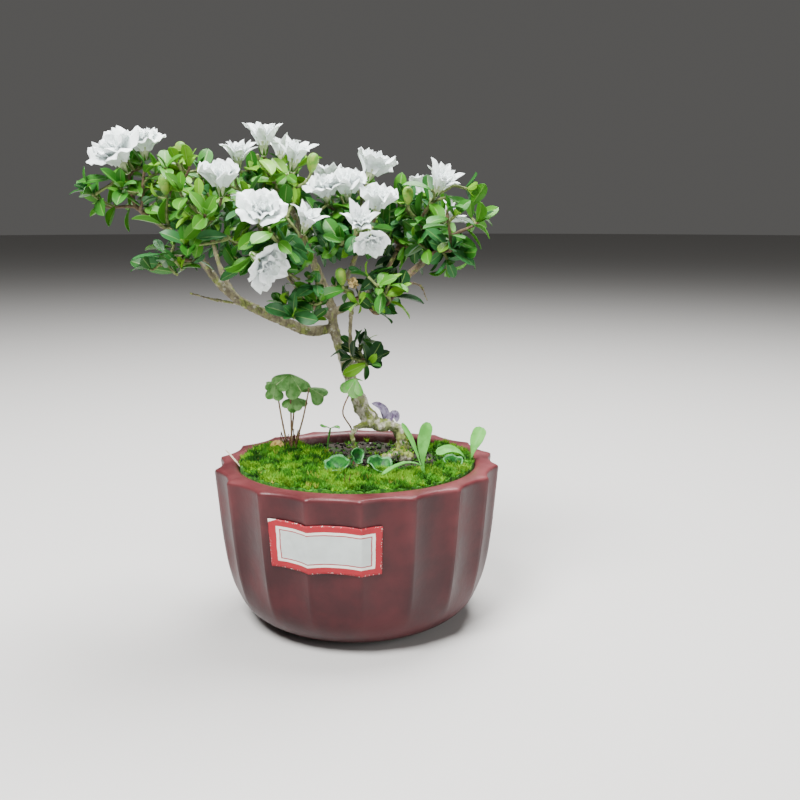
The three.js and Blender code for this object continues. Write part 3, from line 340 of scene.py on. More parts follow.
class Route:
    """A smooth line through points, or a Bezier line with four handles, measured along its length."""

    DIVISIONS = 200

    def __init__(self, points, bezier=False):
        self.points = [point_of(point) for point in points]
        self.bezier = bezier
        line = np.array([self.at(k / self.DIVISIONS) for k in range(self.DIVISIONS + 1)])
        steps = np.linalg.norm(np.diff(line, axis=0), axis=1)
        self.lengths = np.concatenate([[0], np.cumsum(steps)])
        self.length = self.lengths[-1]

    def at(self, t):
        if self.bezier:
            a, b, c, d = self.points
            s = 1 - t
            return s**3 * a + 3 * s * s * t * b + 3 * s * t * t * c + t**3 * d
        last = len(self.points) - 1
        index = min(int(t * last), last - 1)
        weight = t * last - index
        p1, p2 = self.points[index], self.points[index + 1]
        p0 = self.points[index - 1] if index > 0 else 2 * p1 - p2
        p3 = self.points[index + 2] if index + 2 <= last else 2 * p2 - p1
        d0, d1, d2 = [math.sqrt(np.linalg.norm(q - p)) for p, q in ((p0, p1), (p1, p2), (p2, p3))]
        t1 = d1 * ((p1 - p0) / d0 - (p2 - p0) / (d0 + d1) + (p2 - p1) / d1)
        t2 = d1 * ((p2 - p1) / d1 - (p3 - p1) / (d1 + d2) + (p3 - p2) / d2)
        w2, w3 = weight * weight, weight**3
        return (p1 + t1 * weight + (3 * (p2 - p1) - 2 * t1 - t2) * w2 + (2 * (p1 - p2) + t1 + t2) * w3)

    def share(self, u):
        target = u * self.length
        low = min(int(np.searchsorted(self.lengths, target, side="right")) - 1, self.DIVISIONS - 1)
        step = self.lengths[low + 1] - self.lengths[low]
        return (low + (target - self.lengths[low]) / step) / self.DIVISIONS

    def point(self, u):
        return self.at(self.share(u))

    def tangent(self, u):
        t = self.share(u)
        return unit(self.at(min(t + 1e-4, 1)) - self.at(max(t - 1e-4, 0)))

    def line(self, count):
        return np.array([self.point(k / count) for k in range(count + 1)])


def radius_at(radii, share):
    return float(np.interp(share * (len(radii) - 1), range(len(radii)), radii))


# Limbs and how foliage grows from them

@lru_cache
def limb_routes():
    """Each limb's route as the solids have it: it starts clear of the limb that it leaves."""
    limbs = {}
    for name, (parent, at, points, radii) in LIMBS.items():
        route = [point_of(point) for point in points]
        if parent:
            host, host_radii = limbs[parent]
            if at == 1:
                heading = host.tangent(1)
                start = host.point(1) + heading * CLEAR
            else:
                seat = host.point(at)
                heading = unit(route[0] - seat)
                along = abs(heading @ host.tangent(at))
                reach = radius_at(host_radii, at) + CLEAR + radii[0] * along
                start = seat + heading * reach / math.sqrt(1 - along * along)
            route = [start, start + heading * radii[0], *route]
        limbs[name] = (Route(route), radii)
    return limbs


@lru_cache
def limb_samples():
    """Points along every limb and the limb's radius there."""
    places, sizes = [], []
    for route, radii in limb_routes().values():
        count = math.ceil(route.length / 1.5)
        for k in range(count + 1):
            places.append(route.point(k / count))
            sizes.append(radius_at(radii, k / count))
    return np.array(places), np.array(sizes)


def clear_of_limbs(points, margin):
    places, sizes = limb_samples()
    apart = np.linalg.norm(np.asarray(points)[:, None, :] - places[None], axis=2)
    return bool((apart > sizes + margin).all())


MASS_NAMES = list(MASSES)
MIDDLES = np.array([MASSES[name][1] for name in MASS_NAMES], float)
REACHES = np.array([MASSES[name][2] for name in MASS_NAMES], float)


def holds(index, points, margin, stretch):
    """Whether a mass holds points: within its reach, and nearer to it than to any other by a margin."""
    points = np.atleast_2d(points)
    share = (points - MIDDLES[index]) / REACHES[index]
    if ((share * share).sum(axis=1) > stretch * stretch).any():
        return False
    powers = ((points[:, None, :] - MIDDLES[None]) ** 2).sum(axis=2) - REACHES.mean(axis=1) ** 2
    needed = 2 * np.linalg.norm(MIDDLES - MIDDLES[index], axis=1) * margin
    ahead = powers - powers[:, index : index + 1] > needed
    ahead[:, index] = True
    return bool(ahead.all())


def point_in_reach(index, random):
    least, most = END_SHARES
    while True:
        direction = point_of([2 * random() - 1 for _ in range(3)])
        length = np.linalg.norm(direction)
        if 0.2 <= length <= 1:
            share = least + (most - least) * random()
            return direction * share / length * REACHES[index] + MIDDLES[index]


class Twig:
    """A twig: its route, the twig that it leaves, and what its end bears."""

    def __init__(self, route, host, kind, end, axis, form="full", size=1):
        self.route = route
        self.steps = max(2, round(route.length / TWIG_STEP))
        self.host = host
        self.kind = kind
        self.end = end
        self.axis = axis
        self.form = form
        self.size = size
        self.load = 1

    def axis_point(self, share):
        ring = min(int(share * self.steps), self.steps - 1)
        start = self.route.point(ring / self.steps)
        stop = self.route.point((ring + 1) / self.steps)
        return start + (stop - start) * (share * self.steps - ring)

    def radius(self):
        return TWIG_TIP_RADIUS + TWIG_GROWTH * (math.sqrt(self.load) - 1)


def shoot_ends(index, random):
    _, middle, reach, shoots, _, blooms, buds = MASSES[MASS_NAMES[index]]
    ends = []
    for kind, back, rows in (("bloom", BLOOM_DEPTH, blooms), ("bud", BUD_LENGTH / 2, buds)):
        for place, facing, *flower in rows:
            axis = unit(facing)
            ends.append((kind, place - axis * back, axis, *flower))
    while len(ends) < shoots:
        best, widest = None, -1
        for _ in range(CANDIDATES):
            point = point_in_reach(index, random)
            if not holds(index, point, 2, 1):
                continue
            gap = min([WIDEST_GAP, *[np.linalg.norm(end[1] - point) for end in ends]])
            if gap > widest:
                best, widest = point, gap
        if best is None:
            break
        outward = (best - middle) / reach
        ends.append(("leaves", best, unit(outward + END_UPTURN)))
    return ends


def grow_twigs(index, ends):
    """A stem goes on from the bough, and each shoot end joins the wood that is already there."""
    bough, _ = limb_routes()[MASSES[MASS_NAMES[index]][0]]
    tangent = bough.tangent(1)
    root = bough.point(1) + tangent * CLEAR
    thirds = [root + tangent * STEM_LENGTH * k / 3 for k in range(4)]
    twigs = [Twig(Route(thirds, bezier=True), -1, "stem", root, tangent)]
    wood = [(twigs[0].axis_point(share), tangent, share * STEM_LENGTH, 0) for share in STEM_WOOD]
    for kind, end, axis, *flower in sorted(ends, key=lambda one: np.linalg.norm(one[1] - root)):

        def cost(spot):
            return np.linalg.norm(spot[0] - end) + PATH_WEIGHT * spot[2]

        point, way, path, host = min(wood, key=cost)
        span = np.linalg.norm(point - end)
        if span < LEAST_SPAN:
            continue
        ahead = (end - point) @ way / span
        bend = point + way * (LEAST_BEND + BEND_AHEAD * max(0, ahead)) * span
        route = Route([point, bend, end - axis * END_RISE * span, end], bezier=True)
        probes = [route.at(t) for t in TWIG_PROBES]
        if not (holds(index, probes, 1.3, 0.95) and clear_of_limbs(probes, 1)):
            continue
        twigs.append(Twig(route, host, kind, end, axis, *flower))
        for share in TWIG_WOOD:
            place = twigs[-1].axis_point(share)
            wood.append((place, route.tangent(share), path + share * route.length, len(twigs) - 1))
    for twig in reversed(twigs):
        if twig.host >= 0:
            twigs[twig.host].load += twig.load
    return twigs


class Taken:
    """Balls along leaves, twigs and blossom, by which the pieces of one mass keep off each other."""

    MOST = 40000

    def __init__(self):
        self.count = 0
        self.places = np.zeros((self.MOST, 3))
        self.sizes = np.zeros(self.MOST)
        self.owners = np.zeros(self.MOST, int)

    def add(self, place, size, owner):
        self.places[self.count] = place
        self.sizes[self.count] = size
        self.owners[self.count] = id(owner)
        self.count += 1

    def meets(self, places, size, owner):
        others = self.owners[: self.count] != id(owner)
        apart = np.linalg.norm(np.array(places)[:, None, :] - self.places[None, : self.count], axis=2)
        return bool(((apart < size + self.sizes[: self.count]) & others).any())


def leaf_corners(root, way, upper, length):
    across = np.cross(upper, way)
    middle = root + way * LEAF_WIDEST * length
    side = across * LEAF_SIDE_SHARE * length
    keel = upper * LEAF_KEEL_SHARE * length
    return [root, root + way * length, middle - keel, middle + side + keel / 2, middle - side + keel / 2]


def leaf_pair(index, twig, random, taken, pair, aside, leaves, behind=0, snug=FINE_LEAF_SNUG):
    """The two leaves of a pair, each tried at smaller sizes until it has room."""
    full_length, opening_degrees, back = pair
    root = twig.axis_point(max(0.02, 1 - back - behind))
    axis = twig.axis
    if back > LOW_ON_TWIG:
        axis = twig.route.tangent(max(0.02, 1 - back))
        aside = squared(aside, axis)
    for side in (1, -1):
        full = full_length * random(*LENGTH_SHARES)
        opening = math.radians(opening_degrees + OPENING_SPREAD * (random() - 0.5))
        out = aside * side
        way = out * math.sin(opening) + axis * math.cos(opening)
        upper = axis * math.sin(opening) - out * math.cos(opening)
        for shrink in LEAF_SHRINKS:
            length = shrink * full
            corners = leaf_corners(root, way, upper, length)
            balls = [root + way * share * length for share in LEAF_PROBES]
            if not (holds(index, corners, LEAF_ROOM, 1) and clear_of_limbs([*corners, *balls], LEAF_ROOM)):
                continue
            size = LEAF_BALL_SHARE * length * snug
            if taken.meets(balls, size, twig):
                continue
            leaves.append((root, way, upper, length, twig))
            for ball in balls:
                taken.add(ball, size, twig)
            break


def side_shoots(index, twigs, finer, taken):
    """Short finer shoots that leave the twigs' sides where there is room."""
    shoots = []
    for number, twig in enumerate(twigs):
        for share in SIDE_SHOOTS:
            start = twig.axis_point(share)
            along = twig.route.tangent(share)
            out = turned(any_across(along), along, finer(0, 2 * math.pi))
            axis = unit(out + along * 0.5 + (0, 0, 0.4))
            length = finer(*SIDE_LENGTHS)
            end = start + axis * length
            probes = [start + axis * length * part for part in SIDE_PROBES]
            roomy = holds(index, probes, 1, 1) and clear_of_limbs(probes, 0.6)
            if twig.route.length < LEAST_HOST or not roomy or taken.meets(probes, TWIG_BALL, twig):
                continue
            bend = start + (along + axis) * length * 0.25
            route = Route([start, bend, end - axis * length * END_RISE, end], bezier=True)
            shoots.append(Twig(route, number, "side", end, axis))
            taken.add(end, TWIG_BALL, shoots[-1])
    return shoots


def grow_mass(index):
    """A mass's twigs and leaves: first those of the solids, then the finer ones between them."""
    name = MASS_NAMES[index]
    seed = MASSES[name][4]
    random = Seeded(seed)
    twigs = grow_twigs(index, shoot_ends(index, random))
    taken = Taken()
    for twig in twigs:
        for k in range(6):
            taken.add(twig.route.at(0.1 + 0.15 * k), TWIG_BALL, twig)
        if twig.kind == "bloom":
            taken.add(twig.end + twig.axis * 0.6 * BLOOM_DEPTH, FLOWER_BALL, None)
    leaves = []
    firsts = {}
    for twig in twigs:
        if twig.kind == "stem":
            continue
        first = turned(any_across(twig.axis), twig.axis, 2 * math.pi * random())
        firsts[twig] = first
        behind = 0 if twig.kind == "leaves" else BACK_FROM_BLOOM
        for number, pair in enumerate(LEAF_PAIRS):
            aside = turned(first, twig.axis, number * math.pi / 2)
            leaf_pair(index, twig, random, taken, pair, aside, leaves, behind, 1)
    finer = Seeded(seed + 1000)
    fullness = THINNED.get(name, 1)

    def quarter_turned(twig, quarter):
        return turned(any_across(twig.axis), twig.axis, quarter * math.pi / 2 + twig.end[0])

    late = [late_twig(twigs, "leaves", *row) for row in LATE_SHOOTS.get(name, [])]
    for pair, quarter in LATE_PAIRS:
        for twig in late:
            leaf_pair(index, twig, finer, taken, pair, quarter_turned(twig, quarter), leaves)
    for twig in firsts:
        if twig.kind == "leaves":
            leaf_pair(index, twig, finer, taken, TIP_PAIR, firsts[twig], leaves)
    for foot, tip, facing in LONG_LEAVES.get(name, []):
        way = point_of(tip) - foot
        length = np.linalg.norm(way)
        way /= length
        twig = late_twig(twigs, "long", foot, way + (0, 0, 0.3))
        leaves.append((twig.end, way, squared(facing, way), length, twig))
        for share in LEAF_PROBES:
            taken.add(twig.end + way * share * length, 1, twig)
        late.append(twig)
    shoots = [shoot for shoot in side_shoots(index, twigs, finer, taken) if finer() < fullness]
    for quarter, pair in enumerate(SIDE_PAIRS):
        for shoot in shoots:
            leaf_pair(index, shoot, finer, taken, pair, quarter_turned(shoot, quarter), leaves)
    for number, pair in enumerate(LOWER_PAIRS):
        for twig in firsts:
            aside = turned(firsts[twig], twig.axis, number * math.pi / 2 + finer(-0.3, 0.3))
            if finer() < fullness:
                leaf_pair(index, twig, finer, taken, pair, aside, leaves)
    return twigs + late + shoots, leaves


def bloom_balls():
    """Balls in front of each flower's face and, for those of the crown's front, before them as well."""
    balls = [(point_of(WITHERED) + (0, forward, 0), 3) for forward in (0, -4, -8, -12)]
    for rows in LATE_BUDS.values():
        for place, facing in rows:
            balls += [(point_of(place) + (0, forward, 0), 2.6) for forward in (0, -3, -6, -9)]
    for _, _, _, _, _, blooms, _ in MASSES.values():
        for place, facing, *_ in blooms:
            axis = unit(facing)
            foot = place - axis * BLOOM_DEPTH
            for ahead, forward, radius in BLOOM_SPACE:
                if forward == 0 or place[1] < CROWN_FRONT:
                    balls.append((foot + axis * ahead + (0, forward, 0), radius))
    return balls


def clear_of_blooms(leaf, places, sizes, lowest):
    root, way, _, length, _ = leaf
    if (root + way * length)[2] < lowest:
        return False
    probes = np.array([root + way * length * share for share in LEAF_VIEW_PROBES])
    apart = np.linalg.norm(probes[:, None, :] - places[None], axis=2)
    return bool((apart > sizes).all())


def late_twig(twigs, kind, end, facing):
    """A short twig that leaves the nearest wood, rather from below its end than from above it."""
    axis = unit(facing)
    end = point_of(end) - (axis * BUD_LENGTH / 2 if kind == "bud" else 0)
    spots = [(number, share) for number in range(len(twigs)) for share in LATE_HOST_SHARES]

    def distance(spot):
        start = twigs[spot[0]].axis_point(spot[1])
        return np.linalg.norm(start - end) + 1.5 * max(0, start[2] - end[2] + 4)

    number, share = min(spots, key=distance)
    start = twigs[number].axis_point(share)
    span = np.linalg.norm(end - start)
    bend = start + twigs[number].route.tangent(share) * 0.25 * span
    return Twig(Route([start, bend, end - axis * 0.4 * span, end], bezier=True), number, kind, end, axis)


def pruned(twigs, late, leaves):
    """The twigs that bear something, and of the rest as much as still carries a twig."""
    bearing = {leaf[4] for leaf in leaves}
    whole = [twig for twig in [*twigs, *late] if twig.kind in ("stem", "bloom", "bud") or twig in bearing]
    kept = dict.fromkeys(whole, 1)
    for twig in whole:
        while twig.host >= 0:
            foot, twig = twig.route.point(0), twigs[twig.host]
            fork = min(even(20), key=lambda share: np.linalg.norm(twig.route.point(share) - foot))
            kept[twig] = max(kept.get(twig, 0), fork)
    for twig, share in kept.items():
        if share < 1:
            twig.route = Route([twig.route.point(share * k / 4) for k in range(5)])
    return list(kept)


@lru_cache
def grown_tree():
    """All masses' twigs and leaves, without what would hide a flower and the wood that this leaves bare."""
    places, sizes = [np.array(column) for column in zip(*bloom_balls())]
    masses = []
    for index, name in enumerate(MASS_NAMES):
        twigs, leaves = grow_mass(index)
        late = [late_twig(twigs, "bud", *row) for row in LATE_BUDS.get(name, [])]
        lowest = LOWEST_LEAF.get(name, 0)

        def hides(twig):
            gaps = [np.linalg.norm(places - twig.route.at(t), axis=1) for t in (0.5, 0.75, 1)]
            return any((gap < sizes * 0.9).any() for gap in gaps)

        def stays(leaf):
            twig = leaf[4]
            shown = twig.kind == "bloom" or twig not in hiding
            return twig.kind == "long" or shown and clear_of_blooms(leaf, places, sizes, lowest)

        hiding = {twig for twig in twigs if hides(twig)}
        leaves = [leaf for leaf in leaves if stays(leaf)]
        masses.append((pruned(twigs, late, leaves), leaves))
    return masses


# Shapes

class Shape:
    """A mesh as arrays: its corners, the corners of its faces in turn, and each face's size and finish."""

    def __init__(self, corners, loops, sizes, finishes):
        self.corners = corners
        self.loops = loops
        self.sizes = sizes
        self.finishes = finishes

    @classmethod
    def of_faces(cls, corners, faces, finish=0):
        loops = np.array([corner for face in faces for corner in face])
        sizes = np.array([len(face) for face in faces])
        return cls(np.array(corners, float), loops, sizes, np.full(len(faces), finish))

    @classmethod
    def of_object(cls, piece):
        """The shape of an object, which is then removed."""
        mesh = piece.data
        corners = np.empty(len(mesh.vertices) * 3)
        loops = np.empty(len(mesh.loops), int)
        sizes = np.empty(len(mesh.polygons), int)
        finishes = np.empty(len(mesh.polygons), int)
        mesh.vertices.foreach_get("co", corners)
        mesh.loops.foreach_get("vertex_index", loops)
        mesh.polygons.foreach_get("loop_total", sizes)
        mesh.polygons.foreach_get("material_index", finishes)
        bpy.data.objects.remove(piece)
        bpy.data.meshes.remove(mesh)
        return cls(corners.reshape(-1, 3), loops, sizes, finishes)

    @classmethod
    def joined(cls, shapes):
        offsets = np.cumsum([0] + [len(shape.corners) for shape in shapes])
        loops = [shape.loops + offset for shape, offset in zip(shapes, offsets)]
        corners, sizes, finishes = [np.concatenate([getattr(shape, name) for shape in shapes])
                                    for name in ("corners", "sizes", "finishes")]
        return cls(corners, np.concatenate(loops), sizes, finishes)

    def placed(self, x_axis, y_axis, z_axis, origin=(0, 0, 0)):
        corners = self.corners @ np.array([x_axis, y_axis, z_axis]) + origin
        return Shape(corners, self.loops, self.sizes, self.finishes)

    def laid(self, way, upper, size, origin):
        """The shape with its Y axis along a way and its Z axis along an upper side."""
        return self.placed(np.cross(way, upper) * size, way * size, upper * size, origin)

    def along(self, axis, origin, scale=1.0, turn=0.0):
        """The shape with its Z axis laid along a direction."""
        axis = unit(point_of(axis))
        side = turned(any_across(axis), axis, turn)
        other = np.cross(axis, side)
        return self.placed(side * scale, other * scale, axis * scale, origin)

    def finished(self, finish):
        return Shape(self.corners, self.loops, self.sizes, np.full(len(self.sizes), finish))


def added(operator, **settings):
    """The object that an operator adds, alone in the selection."""
    bpy.ops.object.select_all(action="DESELECT")
    operator(**settings)
    return bpy.context.object


def make_piece(name, shape, materials):
    """A piece from a shape in millimetres, at the origin, smooth, with its materials in order."""
    mesh = bpy.data.meshes.new(name)
    mesh.vertices.add(len(shape.corners))
    mesh.vertices.foreach_set("co", (shape.corners * MM).ravel())
    mesh.loops.add(len(shape.loops))
    mesh.loops.foreach_set("vertex_index", shape.loops)
    mesh.polygons.add(len(shape.sizes))
    mesh.polygons.foreach_set("loop_start", np.cumsum(shape.sizes) - shape.sizes)
    mesh.polygons.foreach_set("material_index", shape.finishes)
    mesh.polygons.foreach_set("use_smooth", np.ones(len(shape.sizes), bool))
    mesh.update(calc_edges=True)
    for material in materials:
        mesh.materials.append(material)
    piece = bpy.data.objects.new(name, mesh)
    bpy.context.scene.collection.objects.link(piece)
    make_active(piece)
    bpy.ops.object.shade_smooth_by_angle(angle=math.radians(55))
    return piece


def keep(piece, slot, *replaced):
    """The piece is part of the object: it rides and stands for solids; the slot is not used."""
    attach(piece, "root")
    if replaced:
        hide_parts(*replaced)


def add_piece(name, shapes, materials, slot, *replaced):
    """Makes and keeps a piece of joined shapes, if there are any."""
    if shapes:
        keep(make_piece(name, Shape.joined(shapes), materials), slot, *replaced)


def make_active(piece):
    bpy.ops.object.select_all(action="DESELECT")
    piece.select_set(True)
    bpy.context.view_layer.objects.active = piece


def apply_modifier(piece, kind, **settings):
    make_active(piece)
    modifier = piece.modifiers.new(kind.title(), kind)
    for name, value in settings.items():
        setattr(modifier, name, value)
    bpy.ops.object.modifier_apply(modifier=modifier.name)


def blade(columns, rows, surface, thickness, ribs=()):
    """A thin closed blade: a grid bent by a rule of two shares, its doubles merged, and given a wall.

    Columns run from -1 to 1 across it and rows from 0 to 1 along it. Faces of the rib columns get finish 1.
    """
    across, along = len(columns) - 1, len(rows) - 1
    piece = added(bpy.ops.mesh.primitive_grid_add, x_subdivisions=across, y_subdivisions=along, size=2)
    mesh = piece.data
    for face in mesh.polygons:
        face.material_index = int(round((face.center.x + 1) / 2 * across - 0.5) in ribs)
    for vertex in mesh.vertices:
        column = columns[round((vertex.co.x + 1) / 2 * across)]
        row = rows[round((vertex.co.y + 1) / 2 * along)]
        vertex.co = Vector(surface(column, row))
    bpy.ops.object.mode_set(mode="EDIT")
    bpy.ops.mesh.select_all(action="SELECT")
    bpy.ops.mesh.remove_doubles(threshold=1e-4)
    bpy.ops.object.mode_set(mode="OBJECT")
    mesh.materials.append(None)
    mesh.materials.append(None)
    apply_modifier(piece, "SOLIDIFY", thickness=thickness, offset=0)
    return Shape.of_object(piece)


def even(count, low=0.0, high=1.0):
    return list(np.linspace(low, high, count + 1))


def tube(route, radii, sides, count, swell=None):
    """A closed tapering tube along a route, with a pole at each end."""
    line = route.line(count)
    side = any_across(route.tangent(0))
    corners = [line[0]]
    for k, centre in enumerate(line):
        tangent = route.tangent(k / count)
        side = squared(side, tangent)
        other = np.cross(tangent, side)
        radius = radius_at(radii, k / count) * (swell(k / count) if swell else 1)
        for turn in range(sides):
            angle = 2 * math.pi * turn / sides
            corners.append(centre + radius * (math.cos(angle) * side + math.sin(angle) * other))
    corners.append(line[-1] + route.tangent(1) * radii[-1] * 0.5)
    last = len(corners) - 1
    faces = []
    for turn in range(sides):
        following = (turn + 1) % sides
        faces.append((0, 1 + following, 1 + turn))
        faces.append((last, last - sides + turn, last - sides + following))
        for k in range(count):
            low, high = 1 + k * sides, 1 + (k + 1) * sides
            faces.append((low + turn, low + following, high + following, high + turn))
    return Shape.of_faces(corners, faces)


def stalk(points, radii, sides, count):
    """A tube along a smooth line through points."""
    return tube(Route(points), radii, sides, count)


def strap(points, half_width, upper, fold, thickness, columns=6, rows=12):
    """A leaf blade that follows a smooth line through points, folded along its middle."""
    route = Route(points)

    def surface(u, v):
        tangent = route.tangent(v)
        side = unit(np.cross(tangent, upper))
        normal = np.cross(side, tangent)
        width = half_width(v)
        return route.point(v) + side * u * width + normal * fold * abs(u) * width

    return blade(even(columns, -1), even(rows), surface, thickness)


# Shader maths

def sum_of(operation, reverse=False):
    """A method of a wire that makes a maths node of the wire and another number."""

    def method(self, other):
        first, second = (other, self) if reverse else (self, other)
        return self.shader.node("Math", {"operation": operation}, {0: first, 1: second})

    return method


class Wire:
    """A socket that carries a number, with the sums that it can take part in."""

    __add__ = __radd__ = sum_of("ADD")
    __mul__ = __rmul__ = sum_of("MULTIPLY")
    __sub__ = sum_of("SUBTRACT")
    __rsub__ = sum_of("SUBTRACT", reverse=True)
    __gt__ = sum_of("GREATER_THAN")
    __lt__ = sum_of("LESS_THAN")

    def __init__(self, shader, socket):
        self.shader = shader
        self.socket = socket

    def between(self, low, high):
        """A mask that rises from 0 to 1 as the number goes from low to high."""
        sockets = {"Value": self, "From Min": low, "From Max": high}
        return self.shader.node("MapRange", {"interpolation_type": "SMOOTHSTEP"}, sockets)


class Shader:
    """A material's nodes."""

    def __init__(self, name):
        self.material = bpy.data.materials.new(name)
        self.material.use_nodes = True
        self.tree = self.material.node_tree
        self.tree.nodes.clear()

    def node(self, kind, settings, sockets, output=0):
        """A node of a type, with its settings made first and then the values or links of its sockets."""
        made = self.tree.nodes.new("ShaderNode" + kind)
        for name, value in settings.items():
            setattr(made, name, value)
        for name, value in sockets.items():
            if isinstance(value, Wire):
                self.tree.links.new(value.socket, made.inputs[name])
            else:
                made.inputs[name].default_value = value
        return Wire(self, made.outputs[output])

    def place(self):
        return self.node("TexCoord", {}, {}, "Object")

    def axis(self, vector, name):
        return self.node("SeparateXYZ", {}, {"Vector": vector}, name)

    def noise(self, size_mm, detail=3.0, roughness=0.55, stretch=None, vector=None):
        """Noise whose lumps are about a size across, stretched along Z where asked."""
        vector = vector or self.place()
        if stretch:
            vector = self.node("Mapping", {}, {"Vector": vector, "Scale": (1, 1, 1 / stretch)})
        sockets = {"Vector": vector, "Scale": 1000 / size_mm, "Detail": detail, "Roughness": roughness}
        return self.node("TexNoise", {}, sockets)

    def attribute(self, name):
        return self.node("Attribute", {"attribute_name": name}, {}, "Fac")

    def mix(self, factor, first, second):
        """A mix of two colours, each a link or plain numbers."""
        first, second = [one if isinstance(one, Wire) else (*one, 1) for one in (first, second)]
        return self.node("Mix", {"data_type": "RGBA"}, {0: factor, 6: first, 7: second}, 2)

    def bump(self, height, distance_mm, strength=1.0):
        return self.node("Bump", {}, {"Height": height, "Distance": distance_mm * MM, "Strength": strength})

    def finish(self, **sockets):
        """The surface, by the names of its sockets with underscores for spaces."""
        named = {name.replace("_", " "): value for name, value in sockets.items()}
        surface = self.node("BsdfPrincipled", {}, named)
        output = self.tree.nodes.new("ShaderNodeOutputMaterial")
        self.tree.links.new(surface.socket, output.inputs["Surface"])
        return self.material


def plain(name, colour, roughness=0.6, **sockets):
    """A material of one plain colour."""
    return Shader(name).finish(Base_Color=(*colour, 1), Roughness=roughness, **sockets)


LEAF_SHEEN = {"Specular_IOR_Level": 0.2}


def living(name, light, shade, patch_mm, roughness=0.48, **sockets):
    """A surface whose colour wanders in patches to a shade, given as a colour or as a share of its own."""
    if isinstance(shade, float):
        shade = [part * shade for part in light]
    shader = Shader(name)
    patches = shader.noise(patch_mm, 3)
    colour = shader.mix(patches.between(0.36, 0.62), shade, light)
    relief = shader.noise(0.5, 2)
    return shader.finish(Base_Color=colour, Roughness=roughness, Normal=shader.bump(relief, 0.06),
                         **{**LEAF_SHEEN, **sockets})


def glaze_material(pot):
    shader = Shader("maroon glaze")
    height = shader.axis(shader.place(), "Z")
    ridge = shader.attribute("ridge")
    inside = shader.attribute("inside")
    broad = shader.noise(14, 4).between(0.35, 0.68)
    fine = shader.noise(1.6, 5, 0.65)
    colour = shader.mix(broad, pot.glaze_deep, pot.glaze)
    colour = shader.mix(ridge * 0.45 * broad + ridge * 0.4, colour, pot.glaze_thin)
    colour = shader.mix(fine.between(0.66, 0.8) * 0.2, colour, pot.glaze_thin)
    colour = shader.mix(height.between(0.008, 0.0) * 0.6, colour, (0.05, 0.02, 0.02))
    crust = shader.noise(3.5, 6, 0.7).between(0.45, 0.62) * inside
    colour = shader.mix(crust, colour, pot.crust)
    roughness = 0.34 + 0.1 * broad + 0.4 * crust + 0.1 * fine
    relief = shader.noise(0.9, 2) * 0.3 + shader.noise(6, 2) + crust * 0.6
    return shader.finish(Base_Color=colour, Roughness=roughness, Normal=shader.bump(relief, 0.12),
                         Coat_Weight=0.08, Coat_Roughness=0.25, Specular_IOR_Level=0.26)


def label_material(label):
    """A red border, a pale band, a fine red line and a bare grey centre, with worn edges."""
    shader = Shader("printed paper")
    place = shader.node("UVMap", {}, {})
    u, v = shader.axis(place, "X"), shader.axis(place, "Y")
    wave = shader.noise(2.2, 2) * 0.012 - 0.006

    def inside(margin_u, margin_v):
        within_sides = (u + wave > margin_u) * (u + wave < 1 - margin_u)
        return within_sides * (v + wave > margin_v) * (v + wave < 1 - margin_v)

    paper = shader.mix(shader.noise(5, 4), label.paper_shade, label.paper)
    colour = shader.mix(inside(0.062, 0.135), label.border, label.band)
    colour = shader.mix(inside(0.09, 0.19), colour, label.border)
    colour = shader.mix(inside(0.1, 0.212), colour, paper)
    torn = ((1 - u) + v > 1.93) * (shader.noise(0.8, 3) > 0.42)
    worn = (shader.noise(0.5, 3) > 0.62) * (1 - inside(0.012, 0.026))
    colour = shader.mix(torn, colour, label.band)
    colour = shader.mix(worn, colour, label.band)
    relief = shader.noise(4, 3) + shader.noise(0.6, 2) * 0.2
    return shader.finish(Base_Color=colour, Roughness=0.62, Normal=shader.bump(relief, 0.1))


def bark_material(bark):
    shader = Shader("lichened bark")
    place = shader.place()
    height = shader.axis(place, "Z")
    side = shader.axis(place, "X")
    patches = shader.noise(3.2, 5, 0.6)
    grain = shader.noise(1.1, 6, 0.7, stretch=2.5)
    upper = (height + patches * 0.012).between(0.088, 0.102)
    foot = 1 - (height + patches * 0.01).between(0.064, 0.074)
    right = side.between(0.0, 0.012) * upper
    spots = shader.noise(1.6, 4, 0.6).between(0.56, 0.68)
    pale = shader.mix(grain.between(0.3, 0.6), bark.pale_crack, bark.pale)
    pale = shader.mix(spots * 0.6, pale, bark.crack)
    film = shader.mix(grain.between(0.4, 0.6), bark.moss_deep, bark.moss)
    olive = shader.mix(grain.between(0.4, 0.62), bark.crack, bark.olive)
    brown = shader.mix(grain.between(0.42, 0.6), bark.crack, bark.brown)
    colour = shader.mix(upper, pale, olive)
    colour = shader.mix(right, colour, brown)
    colour = shader.mix(patches.between(0.5, 0.6) * 0.75, colour, film)
    colour = shader.mix(foot * patches.between(0.38, 0.55), colour, film)
    mossy = shader.attribute("mossy")
    colour = shader.mix(mossy * (0.35 + grain.between(0.35, 0.55)), colour, film)
    colour = shader.mix(shader.noise(2, 3).between(0.62, 0.7) * 0.6, colour, bark.lichen)
    relief = grain + patches * 0.6
    return shader.finish(Base_Color=colour, Roughness=0.78 + 0.15 * grain, Normal=shader.bump(relief, 0.35))


def soil_material(ground):
    shader = Shader("damp soil")
    crumbs = shader.noise(1.1, 6, 0.7)
    # Dark damp soil, made near black also as painted shade of the crown's shadow
    colour = shader.mix(crumbs.between(0.4, 0.65), ground.soil, ground.soil_pale)
    green = shader.noise(7, 3).between(0.5, 0.66)
    colour = shader.mix(green * 0.5, colour, ground.moss_deep)
    return shader.finish(Base_Color=colour, Roughness=0.9, Normal=shader.bump(crumbs, 0.5))


